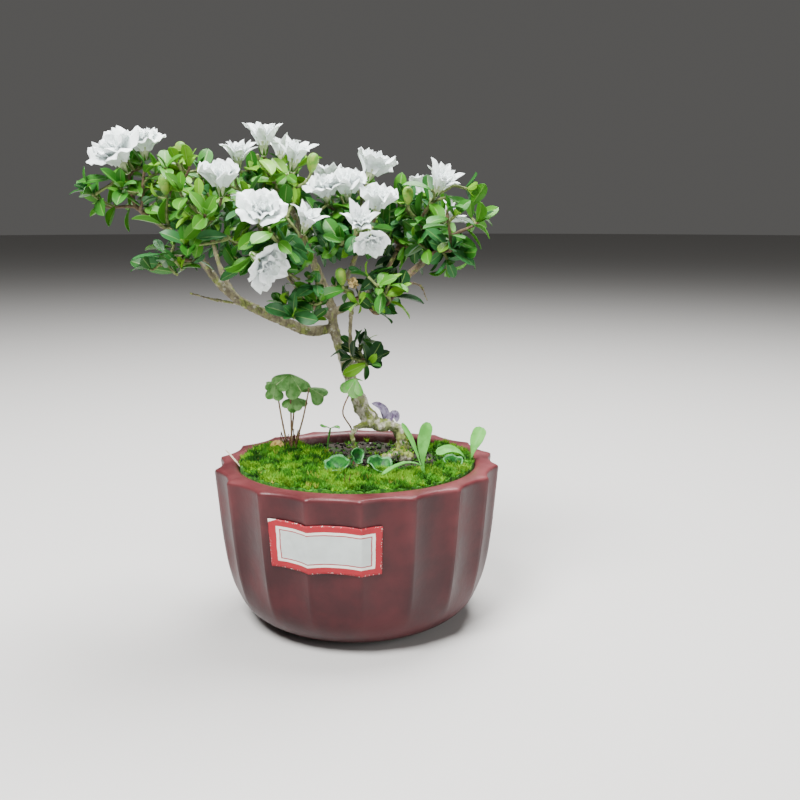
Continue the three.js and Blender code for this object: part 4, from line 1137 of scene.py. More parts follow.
def moss_bed_material(ground):
    shader = Shader("moss bed")
    lumps = shader.noise(1.2, 5, 0.7)
    colour = shader.mix(lumps.between(0.4, 0.62), ground.moss_deep, ground.moss)
    return shader.finish(Base_Color=colour, Roughness=0.95, Normal=shader.bump(lumps, 0.5))


# Settings

def colour_setting(name, description, default):
    return FloatVectorProperty(name=name, description=description, default=default, subtype="COLOR",
                               min=0, max=1)


def length_setting(name, description, millimetres):
    return FloatProperty(name=name, description=description, default=millimetres * MM, min=0, unit="LENGTH",
                         precision=4)


class BonsaiPotSettings(PropertyGroup):
    """Sizes and colours of the pot."""

    flute_depth: length_setting("Flute depth", "How deep each flute is between its ridges", 2.4)
    columns_per_flute: IntProperty(name="Columns per flute", description="Mesh columns in a flute",
                                   default=16, min=4)
    glaze: colour_setting("Glaze", "The glaze's main colour", (0.06, 0.0085, 0.011))
    glaze_deep: colour_setting("Deep glaze", "The glaze where it lies thick", (0.03, 0.004, 0.006))
    glaze_thin: colour_setting("Thin glaze", "The glaze where it runs thin", (0.17, 0.04, 0.044))
    crust: colour_setting("Mineral crust", "Dried minerals on the inner wall", (0.5, 0.4, 0.38))


class BonsaiLabelSettings(PropertyGroup):
    """Colours of the paper label."""

    border: colour_setting("Border", "The printed border", (0.31, 0.0025, 0.012))
    band: colour_setting("Band", "The unprinted band", (0.72, 0.71, 0.64))
    paper: colour_setting("Paper", "The bare centre", (0.58, 0.63, 0.61))
    paper_shade: colour_setting("Soiled paper", "Where the centre is soiled", (0.44, 0.49, 0.47))


class BonsaiBarkSettings(PropertyGroup):
    """Relief and colours of the bark."""

    voxel: length_setting("Mesh size", "How fine the bark's mesh is", 0.36)
    lump_depth: length_setting("Lump depth", "How far the bark's lumps stand out", 0.75)
    crack_depth: length_setting("Crack depth", "How deep the bark's cracks are", 0.28)
    pale: colour_setting("Pale bark", "Bark of the lower trunk", (0.66, 0.63, 0.52))
    pale_crack: colour_setting("Pale bark's cracks", "The lower trunk's cracks", (0.27, 0.24, 0.16))
    crack: colour_setting("Cracks", "Bark in its cracks", (0.12, 0.1, 0.065))
    olive: colour_setting("Olive bark", "Bark of the boughs", (0.24, 0.22, 0.12))
    brown: colour_setting("Brown bark", "Bark of the right bough", (0.22, 0.145, 0.085))
    moss: colour_setting("Moss film", "Moss film on bark", (0.27, 0.33, 0.06))
    moss_deep: colour_setting("Deep moss film", "Moss film in cracks", (0.09, 0.12, 0.025))
    lichen: colour_setting("Lichen", "Pale spots of lichen", (0.55, 0.54, 0.44))


class BonsaiLeafSettings(PropertyGroup):
    """Colours of the leaves and twigs."""

    # Painted light in part: besides the leaves' own young and old hues, the lighter greens are dealt to
    # sprays high up and in front and the darker ones to sprays inside and low down
    lime: colour_setting("Lime", "The youngest leaves", (0.12, 0.31, 0.011))
    bright: colour_setting("Bright", "Young leaves", (0.048, 0.2, 0.01))
    fresh: colour_setting("Fresh", "Leaves in full light", (0.024, 0.14, 0.011))
    deep: colour_setting("Deep", "Older leaves", (0.011, 0.075, 0.009))
    # Painted sheen: this blue-green stands for the sheen that light lays on some leaves, not for a bloom on
    # them
    bluish: colour_setting("Bluish", "Leaves with a bloom on them", (0.026, 0.13, 0.032))
    shaded: colour_setting("Shaded", "Leaves inside the crown", (0.005, 0.036, 0.006))
    wood: colour_setting("Old twigs", "Bark of older twigs", (0.17, 0.12, 0.07))
    green_wood: colour_setting("Young twigs", "Skin of young twigs", (0.19, 0.24, 0.08))


class BonsaiBlossomSettings(PropertyGroup):
    """Sizes and colours of the blossom."""

    radius: length_setting("Petal reach", "How long the outer petals are", 8.1)
    petal: colour_setting("Petals", "The petals", (0.89, 0.94, 0.95))
    cream: colour_setting("Cream", "The petals in patches", (0.81, 0.89, 0.86))
    # Painted shade in part: the tube's green-cream is a pale green of its own and stands also for the shade
    # deep inside the flower
    heart: colour_setting("Heart", "The petals' feet and the tube", (0.62, 0.7, 0.42))
    bud: colour_setting("Buds", "Closed buds", (0.2, 0.31, 0.045))
    calyx: colour_setting("Calyx", "The green leaves under a flower", (0.09, 0.25, 0.025))
    withered: colour_setting("Withered", "A spent flower", (0.62, 0.47, 0.2))


class BonsaiGroundSettings(PropertyGroup):
    """What grows and lies in the pot."""

    tufts: IntProperty(name="Moss tufts", description="Places that are tried for a tuft of moss",
                       default=9000, min=0)
    stones: IntProperty(name="Grit", description="Grains of grit on the soil", default=380, min=0)
    # Painted shade in part: the soil is near black for being damp and also for the crown's shadow on it
    soil: colour_setting("Soil", "Damp soil", (0.012, 0.008, 0.005))
    soil_pale: colour_setting("Dry crumbs", "Drier crumbs of soil", (0.042, 0.027, 0.017))
    moss: colour_setting("Moss", "Moss in full light", (0.065, 0.28, 0.01))
    moss_deep: colour_setting("Deep moss", "Moss between the tufts", (0.014, 0.085, 0.004))
    moss_lime: colour_setting("Lime moss", "The brightest tufts", (0.2, 0.47, 0.015))
    moss_straw: colour_setting("Straw moss", "Dry tufts", (0.36, 0.4, 0.05))
    clover: colour_setting("Clover", "Clover leaves", (0.2, 0.42, 0.13))
    clover_edge: colour_setting("Clover edges", "Edges of the clover leaves", (0.42, 0.55, 0.26))
    clover_young: colour_setting("Young clover", "The clover leaf by the trunk", (0.1, 0.5, 0.05))
    clover_shade: colour_setting("Shaded clover", "Clover leaves in patches", (0.08, 0.25, 0.045))
    mint: colour_setting("Seedlings", "Seedling leaves", (0.12, 0.43, 0.07))
    mint_shade: colour_setting("Shaded seedlings", "Seedling leaves in patches", (0.08, 0.32, 0.045))
    round_leaf: colour_setting("Round leaves", "Small round leaves", (0.03, 0.2, 0.03))
    # Painted highlight: the paler colour of the round leaves' turned-up outer ring
    round_leaf_edge: colour_setting("Round leaves' edges", "Edges of the round leaves", (0.16, 0.42, 0.18))
    round_leaf_shade: colour_setting("Shaded round leaves", "Round leaves in patches", (0.008, 0.08, 0.015))


class BonsaiStageSettings(PropertyGroup):
    """Floor, light and camera."""

    floor: colour_setting("Floor", "The floor and backdrop", (0.5, 0.49, 0.475))
    key_power: FloatProperty(name="Key light", description="Power of the key light in watts", default=20,
                             min=0)
    lens: FloatProperty(name="Lens", description="Focal length in millimetres", default=43.2, min=1)


# Pot and label

@lru_cache
def pot_profile():
    """The pot's section from the middle of its underside, round the rim, to the middle of its floor."""
    outline = Route([(r * POT_RADIUS, 0, z * POT_HEIGHT) for r, z in POT_OUTLINE])
    outside = [(point[0], point[2]) for point in outline.line(WALL_POINTS)]
    rim = [(47.85, 50.2), (48, 51.4), (48, 52.1), (47.8, 52.65), (47.2, 53), (46.2, 53.2), (44.6, 53.4),
           (43, 53.5), (41.6, 53.4), (40.6, 52.9), (39.9, 51.9), (39.6, 50.2)]
    inside = [(39.5, 47), (39.4, 40), (39, 30), (37.5, 18), (34, 11), (29, 8.6), (22, POT_FLOOR),
              (8, POT_FLOOR)]
    return UNDERSIDE + outside[1:] + rim + inside


def flute_scoop(angle, height, depth):
    """How deep a flute is at a place on the pot, and how much of a ridge stands there."""
    turn = (angle - FIRST_RIDGE) * FLUTES / (2 * math.pi)
    across = 2 * (turn - math.floor(turn)) - 1
    fade = smooth_step(height, 0.1 * POT_HEIGHT, 0.5 * POT_HEIGHT)
    rounded = 1 - abs(across) ** 2.2
    return depth * fade * rounded, 1 - rounded


def outside_radius(angle, height, depth):
    """The fluted outside's radius at an angle and a height."""
    radii, heights = np.array(pot_profile()[len(UNDERSIDE):len(UNDERSIDE) + WALL_POINTS + 1]).T
    return np.interp(height, heights, radii) - flute_scoop(angle, height, depth)[0]


class BONSAI_OT_pot(Operator):
    """Make the fluted pot by extruding rings, and press its flutes"""

    bl_idname = "bonsai.pot"
    bl_label = "Pot"

    def execute(self, context):
        settings = context.scene.bonsai_pot
        profile = pot_profile()
        columns = FLUTES * settings.columns_per_flute
        radius, height = profile[0]
        piece = added(bpy.ops.mesh.primitive_circle_add, vertices=columns, radius=radius * MM,
                      fill_type="TRIFAN", rotation=(0, math.pi, FIRST_RIDGE))
        bpy.ops.object.transform_apply(rotation=True)
        bpy.ops.object.mode_set(mode="EDIT")
        bpy.ops.mesh.select_all(action="DESELECT")
        bpy.ops.mesh.select_non_manifold()
        for following, level in profile[1:]:
            bpy.ops.mesh.extrude_region_move(TRANSFORM_OT_translate={"value": (0, 0, (level - height) * MM)})
            scale = following / radius
            bpy.ops.transform.resize(value=(scale, scale, 1), center_override=(0, 0, level * MM))
            radius, height = following, level
        bpy.ops.mesh.edge_face_add()
        bpy.ops.mesh.poke()
        bpy.ops.mesh.select_all(action="SELECT")
        bpy.ops.mesh.normals_make_consistent(inside=False)
        bpy.ops.object.mode_set(mode="OBJECT")
        self.press_flutes(piece.data, settings.flute_depth / MM)
        bpy.ops.object.shade_smooth()
        piece.name = "pot_glazed"
        piece.data.materials.append(glaze_material(settings))
        keep(piece, "glaze", "pot")
        return {"FINISHED"}

    def press_flutes(self, mesh, depth):
        """Presses the flutes into the outside, and marks the ridges and the crust on the inside."""
        ridges = mesh.attributes.new("ridge", "FLOAT", "POINT")
        insides = mesh.attributes.new("inside", "FLOAT", "POINT")
        for vertex in mesh.vertices:
            x, y, z = vertex.co / MM
            radius = math.hypot(x, y)
            angle = math.atan2(x, -y)
            if z > POT_FLOOR - 0.5 and radius < (LOW_INNER_RADIUS if z < 20 else INNER_RADIUS):
                back_left = smooth_step(math.cos(angle + CRUST_ANGLE), 0.88, 0.98)
                crust = smooth_step(z, *CRUST_HEIGHTS) * (0.06 + 0.94 * back_left)
                insides.data[vertex.index].value = crust
                continue
            scoop, ridge = flute_scoop(angle, z, depth)
            top = smooth_step(radius, 41.5, 46) if z > 45 else 1
            share = 1 - scoop * top / max(radius, 1)
            vertex.co.x *= share
            vertex.co.y *= share
            lift = smooth_step(z, 0.45 * POT_HEIGHT, 0.8 * POT_HEIGHT)
            rim = smooth_step(z, 51.6, 52.9)
            ridges.data[vertex.index].value = max(0.4 * lift * ridge**2, rim)


class BONSAI_OT_label(Operator):
    """Make the paper label that is pasted over the flutes"""

    bl_idname = "bonsai.label"
    bl_label = "Label"

    def execute(self, context):
        depth = context.scene.bonsai_pot.flute_depth / MM
        piece = added(bpy.ops.mesh.primitive_grid_add, x_subdivisions=LABEL_COLUMNS,
                      y_subdivisions=LABEL_ROWS, size=2)
        left, right = LABEL_ANGLES
        bottom, top = LABEL_HEIGHTS
        for vertex in piece.data.vertices:
            u, v = (vertex.co.x + 1) / 2, (vertex.co.y + 1) / 2
            angle = math.radians(left + (right - left) * u)
            height = bottom + (top - bottom) * v + LABEL_SLANT * (0.5 - u)
            slack = 0.22 * noise.noise((u * 7, v * 3, 4)) + 0.1 * noise.noise((u * 18, v * 9, 1))
            lifted = 0.35 * smooth_step(u, 0.94, 1) * smooth_step(v, 0.7, 1)
            radius = outside_radius(angle, height, depth) + LABEL_CLEAR + max(slack, -0.15) + lifted
            vertex.co = Vector((radius * math.sin(angle), -radius * math.cos(angle), height)) * MM
        apply_modifier(piece, "SOLIDIFY", thickness=LABEL_THICKNESS * MM, offset=0)
        bpy.ops.object.shade_smooth()
        piece.name = "label_paper"
        piece.data.materials.append(label_material(context.scene.bonsai_label))
        keep(piece, "label_paper", "label")
        return {"FINISHED"}


# Soil and moss

def moss_thickness(x, y):
    """How thick the moss lies at a place, before its lumps."""
    angle = math.degrees(math.atan2(y, x)) % 360
    if angle < 60:
        angle += 360
    radius = math.hypot(x, y)
    inner = np.interp(angle, [a for a, _ in MOSS_INNER_EDGE], [r for _, r in MOSS_INNER_EDGE])
    wander = 2.4 * noise.noise((x * 0.14, y * 0.14, 7))
    ends = smooth_step(angle + wander * 2, 130, 144) * (1 - smooth_step(angle + wander * 2, 392, 408))
    return (MOSS_LEVEL - SOIL_LEVEL) * ends * smooth_step(radius + wander, inner - 1, inner + 6)


def soil_top(x, y):
    """The soil's height at a place: mounded round the roots, lumpy, and lower along the pot's wall."""
    radius = math.hypot(x, y)
    edge = 0.75 * smooth_step(radius, 30, 40)
    mounds = sum(height * math.exp(-((x - middle_x) ** 2 + (y - middle_y) ** 2) / spread)
                 for middle_x, middle_y, height, spread in SOIL_MOUNDS)
    lumps = 0.7 * noise.noise((x * 0.2, y * 0.2, 3)) + 0.45 * noise.noise((x * 0.7, y * 0.7, 5))
    return SOIL_LEVEL + mounds - edge + lumps * (1 - 0.5 * smooth_step(radius, 36, 40))


def moss_top(x, y):
    """The moss bed's height at a place, which lies below the soil where no moss grows."""
    thick = moss_thickness(x, y)
    lumps = 0.9 * noise.noise((x * 0.22, y * 0.22, 11)) + 0.5 * noise.noise((x * 0.55, y * 0.55, 2))
    return soil_top(x, y) - 0.7 + thick * (1 + 0.25 * lumps) + 0.7 * smooth_step(thick, 0, 1)


def disc_shape(radius, rings, columns, top, bottom):
    """A closed disc whose top is a height rule and whose underside is flat."""
    angles = [2 * math.pi * column / columns for column in range(columns)]
    corners, faces = [(0, 0, top(0, 0))], []
    for ring in range(1, rings + 1):
        for angle in angles:
            x, y, _ = around(angle, radius * ring / rings)
            corners.append((x, y, top(x, y)))
    corners += [around(angle, radius, bottom) for angle in angles]
    corners.append((0, 0, bottom))
    for column in range(columns):
        following = (column + 1) % columns
        faces.append((0, 1 + column, 1 + following))
        for ring in range(rings):
            low, high = 1 + ring * columns, 1 + (ring + 1) * columns
            faces.append((low + column, high + column, high + following, low + following))
        below = 1 + rings * columns
        faces.append((below + column, len(corners) - 1, below + following))
    return Shape.of_faces(corners, faces)


def star_tuft(spikes, length, rise, thick):
    """A moss tuft: slim three-sided spikes that spread from one foot."""
    corners, faces = [], []
    for k in range(spikes):
        way = unit(around(2 * math.pi * k / spikes + 0.4 * (k % 2), 1, rise + 0.25 * (k % 3)))
        side = any_across(way)
        start = len(corners)
        for turn in range(3):
            corners.append(way * 0.15 * length + thick * turned(side, way, 2 * math.pi * turn / 3))
        corners.append(way * length * (1 + 0.15 * (k % 2)))
        faces.append((start + 2, start + 1, start))
        for turn in range(3):
            faces.append((start + turn, start + (turn + 1) % 3, start + 3))
    return Shape.of_faces(corners, faces)


def add_tufts(skin, piece, found, colours, patch_mm, roughness):
    """A piece of moss tufts for each of their colours."""
    for name, shapes in found.items():
        green = living(f"{skin} {name}", colours[name], 0.5, patch_mm, roughness)
        add_piece(f"{piece}_{name}", shapes, [green], "moss")


class BONSAI_OT_soil(Operator):
    """Make the soil's crumbly top and the grit that lies on it"""

    bl_idname = "bonsai.soil"
    bl_label = "Soil and grit"

    def execute(self, context):
        ground = context.scene.bonsai_ground
        shape = disc_shape(SOIL_RADIUS, 56, 200, soil_top, POT_FLOOR + 1)
        lower = shape.corners[:, 2] < POT_FLOOR + 2
        shape.corners[lower, :2] *= SOIL_FOOT_RADIUS / SOIL_RADIUS
        add_piece("soil_crumbs", [shape], [soil_material(ground)], "soil", "soil")
        stones = self.stone_shapes()
        random = Seeded(71)
        grit = {"dark": [], "pale": []}
        while len(grit["dark"]) + len(grit["pale"]) < ground.stones:
            x, y, _ = around(random(0, 2 * math.pi), 39 * math.sqrt(random()))
            if moss_thickness(x, y) > 0.5:
                continue
            size = random(0.3, 0.85) * (1.3 if random() > 0.9 else 1)
            origin = (x, y, soil_top(x, y) + 0.15 * size)
            stone = stones[int(random() * 4)].along(random.direction(), origin, size, random() * 6)
            grit["pale" if random() > 0.93 else "dark"].append(stone)
        # The dark grit is darkened further as painted shade, as light from the top made it grey
        for name, colour in (("dark", (0.015, 0.01, 0.007)), ("pale", (0.36, 0.34, 0.3))):
            skin = living("grit " + name, colour, 0.4, 1.5, 0.85)
            add_piece("grit_" + name, grit[name], [skin], "soil")
        return {"FINISHED"}

    def stone_shapes(self):
        """Four rough stones of about unit radius."""
        shapes = []
        for number in range(4):
            stone = added(bpy.ops.mesh.primitive_ico_sphere_add, subdivisions=1, radius=1)
            for vertex in stone.data.vertices:
                vertex.co *= 1 + 0.45 * noise.noise(vertex.co * 1.7 + Vector((number * 5, 0, 0)))
                vertex.co.z *= 0.7
            shapes.append(Shape.of_object(stone))
        return shapes


class BONSAI_OT_moss(Operator):
    """Make the moss cushion and the tufts that cover it"""

    bl_idname = "bonsai.moss"
    bl_label = "Moss"

    def execute(self, context):
        ground = context.scene.bonsai_ground
        bed = disc_shape(MOSS_RADIUS, 60, 240, moss_top, SOIL_LEVEL - 4)
        add_piece("moss_cushion", [bed], [moss_bed_material(ground)], "moss", "moss_left", "moss_front",
                  "moss_right")
        colours = {"lime": ground.moss_lime, "green": ground.moss, "deep": ground.moss_deep,
                   "straw": ground.moss_straw}
        low_tuft = star_tuft(8, 1.15, 0.75, 0.2)
        tall_tuft = star_tuft(7, 1.9, 1.7, 0.17)
        found = {name: [] for name in colours}
        random = Seeded(37)
        for _ in range(ground.tufts):
            x, y, _ = around(random(0, 2 * math.pi), 39.4 * math.sqrt(random()))
            thick = moss_thickness(x, y)
            chance, shade, pick = random(), random(), random()
            if chance > 0.05 + 0.95 * smooth_step(thick, 0.15, 0.9):
                continue
            level = max(moss_top(x, y), soil_top(x, y))
            front = smooth_step(-y, 18, 30) * smooth_step(noise.noise((x * 0.12, y * 0.12, 20)), -0.25, 0.25)
            tuft = tall_tuft if pick < 0.25 + 0.65 * front else low_tuft
            bright = noise.noise((x * 0.16, y * 0.16, 9)) + 0.5 * shade + 0.35 * front
            name = "lime" if bright > 0.42 else "green" if bright > 0.05 else "deep"
            if shade > 0.985 - 0.06 * front:
                name = "straw"
            lean = (random(-0.35, 0.35), random(-0.35, 0.35), 1)
            spin = random() * 6
            found[name].append(tuft.along(lean, (x, y, level - 0.1), random(0.75, 1.25), spin))
        add_tufts("moss", "moss_tufts", found, colours, 5, 0.7)
        return {"FINISHED"}


# Trunk and boughs

LIMB_SIDES = 14
LIMB_RING_STEP = 1.2
BARK_TUFT_TRIES = 5200
BARK_TUFT_TOP = 70


def whole_limb_shapes():
    """Every limb and root as a tube that starts inside the limb that it leaves."""
    lines = []
    limbs = limb_routes()
    for parent, at, points, radii in LIMBS.values():
        if parent:
            points = [limbs[parent][0].point(at), *points]
            flare = min(radius_at(limbs[parent][1], at) * 0.9, radii[0] * 1.5)
            radii = [flare, *np.interp(np.linspace(0, 1, 9)[1:], np.linspace(0, 1, len(radii)), radii)]
        lines.append((Route(points), radii))
    lines += [(Route(points), radii) for points, radii in ROOTS]
    return [tube(line, radii, LIMB_SIDES, max(8, int(line.length / LIMB_RING_STEP))) for line, radii in lines]


class BONSAI_OT_limbs(Operator):
    """Fuse the trunk, its roots and its boughs, and give them the relief of bark"""

    bl_idname = "bonsai.limbs"
    bl_label = "Trunk and boughs"

    def execute(self, context):
        bark = context.scene.bonsai_bark
        shapes = whole_limb_shapes()
        for place, radius in KNOBS:
            knob = added(bpy.ops.mesh.primitive_uv_sphere_add, segments=16, ring_count=10, radius=radius)
            shapes.append(Shape.of_object(knob).along((0, 0, 1), place))
        piece = make_piece("bark_of_trunk_and_boughs", Shape.joined(shapes), [bark_material(bark)])
        apply_modifier(piece, "REMESH", mode="VOXEL", voxel_size=bark.voxel, use_smooth_shade=True)
        apply_modifier(piece, "SMOOTH", factor=0.5, iterations=4)
        self.raise_bark(piece.data, bark.lump_depth / MM, bark.crack_depth / MM)
        keep(piece, "bark", "trunk", "root_right", "root_front", *[name for name in LIMBS if name != "trunk"])
        self.moss_on_bark(context.scene.bonsai_ground, piece.data.vertices)
        return {"FINISHED"}

    def raise_bark(self, mesh, lump_depth, crack_depth):
        """Moves each point along its normal: broad lumps, knots, and cracks that run along the limbs."""
        moves, mossy = [], []
        for vertex in mesh.vertices:
            place = vertex.co / MM
            low = 1 - smooth_step(place.z, 64, 92)
            patch = noise.noise(place * 0.4 + Vector((0, 5, 0))) + 0.5 * vertex.normal.z
            mossy.append(smooth_step(patch, 0.05, 0.4) * (1 - smooth_step(place.z, 66, 86)))
            broad = noise.noise(place * 0.32) * (0.2 + 0.8 * low)
            lumps = noise.noise(place * 0.8 + Vector((9, 0, 0))) * 0.4
            crack = abs(noise.noise(Vector((place.x * 1.5, place.y * 1.5, place.z * 0.7))))
            fine = noise.noise(place * 3.1) * 0.25
            crack = crack_depth * (1 - 3 * crack - fine) * (0.45 + 0.55 * low)
            moves.append(lump_depth * (broad + lumps * (0.5 + 0.5 * low)) - crack)
        mesh.attributes.new("mossy", "FLOAT", "POINT").data.foreach_set("value", mossy)
        corners, normals = [np.empty(len(moves) * 3) for _ in range(2)]
        mesh.vertices.foreach_get("co", corners)
        mesh.vertices.foreach_get("normal", normals)
        mesh.vertices.foreach_set("co", corners + normals * np.repeat(moves, 3) * MM)
        mesh.update()

    def moss_on_bark(self, ground, vertices):
        """Small tufts on the upper sides of the roots and in the hollows of the trunk's foot."""
        random = Seeded(53)
        tuft = star_tuft(6, 0.75, 0.8, 0.16)
        found = {"lime": [], "straw": []}
        for _ in range(BARK_TUFT_TRIES):
            vertex = vertices[int(random() * (len(vertices) - 1))]
            place = vertex.co / MM
            pick, spin = random(), random() * 6
            rightward = smooth_step(place.x, 19, 26)
            low = 1 - smooth_step(place.z, 58 + 4 * rightward, 68)
            if not SOIL_LEVEL <= place.z <= BARK_TUFT_TOP:
                continue
            patch = noise.noise(place * 0.35) + 0.5 * rightward + 0.35 * vertex.normal.z
            if patch * low < 0.22 or (place.z > 65 and patch < 0.4):
                continue
            name = "straw" if pick > 0.72 else "lime"
            found[name].append(tuft.along(vertex.normal, point_of(place), random(0.5, 1.1), spin))
        colours = {"lime": ground.moss, "straw": ground.moss_straw}
        add_tufts("bark moss", "bark_tufts", found, colours, 3, 0.8)


# Foliage

LEAF_COLUMNS = [-1, -0.55, -0.07, 0.07, 0.55, 1]
# The leaf's fold, curl, twist and half width, as shares of its length
LEAF_FORMS = [
    (0.34, 0.16, 0.2, 0.21), (0.2, 0.3, -0.25, 0.225), (0.5, 0.08, 0.1, 0.2), (0.28, 0.4, 0.35, 0.215),
    (0.12, 0.2, -0.1, 0.235),
]
# The blue-green kind among these is painted sheen
LEAF_KINDS = ["lime", "bright", "fresh", "deep", "bluish", "shaded"]
# The tints of sprays, each with the light above which it starts: painted light, as the lighter tints go to
# sprays high up and in front and the darker ones to sprays inside and low down
SPRAY_LIGHT_TINTS = [("lime", 0.7), ("bright", 0.36), ("fresh", 0.12), ("bluish", -0.06), ("deep", -0.3)]
# Leaves shorter than this are often lime
SMALL_LEAF = 6.2
RIB_LIGHT = (0.4, 0.6, 0.12)
TWIG_SIDES = 7
TWIG_RING_STEP = 0.9


def leaf_shape(fold, curl, twist, width):
    """A leaf of unit length: oval, widest past its middle, folded along its rib and curled at its tip."""

    def surface(u, v):
        half = width * math.sin(math.pi * v**1.25) ** 0.68 + 0.012 * (v < 0.99)
        x = u * half
        groove = -0.012 * (abs(u) < 0.1) * (v > 0.01)
        quilt = 0.006 * math.cos(14 * math.pi * v) * abs(u) * (1 - abs(u)) * 4
        z = fold * abs(x) - curl * v * v + 0.1 * v + quilt + groove
        angle = twist * v
        return (x * math.cos(angle) - z * math.sin(angle), v - 0.25 * curl * v**3,
                x * math.sin(angle) + z * math.cos(angle))

    return blade(LEAF_COLUMNS, even(8), surface, 0.014, ribs=(2,))


class BONSAI_OT_foliage(Operator):
    """Grow the twigs and leaves of every mass and join them by kind"""

    bl_idname = "bonsai.foliage"
    bl_label = "Twigs and leaves"

    def execute(self, context):
        settings = context.scene.bonsai_leaves
        self.make_twigs(settings)
        self.make_leaves(settings)
        return {"FINISHED"}

    def make_twigs(self, settings):

        def swell(share):
            """Rings round a twig where leaves have stood."""
            return 1 + 0.22 * (abs((share * 5) % 1 - 0.5) > 0.38)

        woods = {"old": [], "young": []}
        for twigs, _ in grown_tree():
            for twig in twigs:
                radii = [twig.radius() * 1.1, twig.radius(), TWIG_TIP_RADIUS]
                count = max(5, int(twig.route.length / TWIG_RING_STEP))
                kind = "old" if twig.load > 1 or twig.kind == "stem" else "young"
                woods[kind].append(tube(twig.route, radii, TWIG_SIDES, count, swell))
        colours = {"old": settings.wood, "young": settings.green_wood}
        for kind, shapes in woods.items():
            skin = living(kind + " twig skin", colours[kind], 0.45, 1.2, 0.75)
            add_piece("twigs_" + kind, shapes, [skin], "bark", *MASS_NAMES)

    def make_leaves(self, settings):
        shapes = [leaf_shape(*form) for form in LEAF_FORMS]
        random = Seeded(91)
        dealt = {kind: [] for kind in LEAF_KINDS}
        for _, leaves in grown_tree():
            tints = {}
            for root, way, upper, length, twig in leaves:
                if twig not in tints:
                    tints[twig] = self.tint(twig, random)
                kind = tints[twig]
                if length < SMALL_LEAF and random() > 0.72:
                    kind = "lime"
                elif random() > 0.8:
                    kind = LEAF_KINDS[int(random() * 5)]
                shape = shapes[int(random() * len(shapes))]
                lifted = turned(upper, way, random(-0.3, 0.3))
                across = np.cross(way, lifted)
                size = length * random(0.96, 1.04)
                breadth = min(size, 0.55 * size + 4.2)
                dealt[kind].append(shape.placed(across * breadth, way * size, lifted * size, root))
        for kind in LEAF_KINDS:
            green = tuple(getattr(settings, kind))
            rib = tuple(0.8 * part + 0.2 * light for part, light in zip(green, RIB_LIGHT))
            skins = [plain(kind + " leaf", green, 0.43, **LEAF_SHEEN), plain(kind + " leaf rib", rib, 0.5)]
            add_piece("leaves_" + kind, dealt[kind], skins, "foliage", *MASS_NAMES)

    def tint(self, twig, random):
        """A spray's colour as painted light: lighter towards the crown's top and front, darker inside and low
        down.
        """
        light = (twig.end[2] - 118) / 60 - twig.end[1] / 160 + random(-0.4, 0.4)
        return next((kind for kind, limit in SPRAY_LIGHT_TINTS if light > limit), "shaded")


# Blossom

# How far a petal's end reaches at its middle and at three places out towards each side
PETAL_ENDS = {"full": (0.96, 1, 0.95, 0.78), "starry": (1, 0.82, 0.63, 0.4), "torn": (1, 0.86, 0.87, 0.66)}


def petal_shape(form, length, width, start, tilts, ruffle, phase):
    """A petal, which leaves the tube at a radius and a height and bends outwards."""
    radius, height = start
    first, last = [math.radians(tilt) for tilt in tilts]

    def surface(u, v):
        tooth = PETAL_ENDS[form][min(3, round(abs(u) * 3))]
        share = v * (1 - (1 - tooth) * v)
        half = width / 2 * (0.3 + 0.7 * math.sin(min(1, share * 1.35) * math.pi / 2) ** 1.1)
        half *= 1 - 0.25 * max(0, share - 0.75) * 4
        outward, upward = radius, height
        steps = 12
        for k in range(steps):
            bend = first + (last - first) * (share * (k + 0.5) / steps) ** 1.3
            outward += math.sin(bend) * length * share / steps
            upward += math.cos(bend) * length * share / steps
        tilt = first + (last - first) * share**1.3
        wave = ruffle * share * share * math.sin(5.2 * u + phase + 2.2 * v) - 0.12 * width * u * u
        return (outward - math.cos(tilt) * wave, u * half, upward + math.sin(tilt) * wave)

    return blade(even(6, -1), even(7), surface, 0.13)


# The petals of each form of flower, whorl by whorl: their number, reach, width, the radius and height at
# which they leave the tube, their tilt in degrees at the foot and the end, and their ruffle
WHORLS = {
    "full": [(5, 1, 7, (1.4, 3.2), (18, 94), 0.9), (6, 0.84, 5.4, (1.1, 3.6), (8, 64), 1),
             (5, 0.66, 4.2, (0.7, 4), (0, 40), 0.9), (4, 0.5, 2.9, (0.3, 4.2), (-6, 22), 0.8)],
    "starry": [(6, 1.08, 4.3, (1.3, 3.2), (14, 100), 0.6), (5, 0.86, 3.9, (1, 3.6), (6, 66), 0.8),
               (5, 0.62, 3.1, (0.6, 4), (0, 34), 0.8)],
}
# Each form's flowers: a seed and how far open it is
FLOWERS = {
    "full": [(3, 1.02), (8, 0.82), (15, 1.14), (21, 0.66)],
    "starry": [(31, 1.05), (38, 0.84), (44, 0.95)],
}
# The flower's tube, and how far out and how high each of its sepals passes
THROAT_HEIGHTS = (-0.4, 1.5, 3, 4.3)
THROAT_RADII = (0.75, 0.95, 1.35, 2.0)
SEPALS = 6
SEPAL_LINE = [(0.5, -0.3), (1.2, 0.8), (1.75, 2.4)]


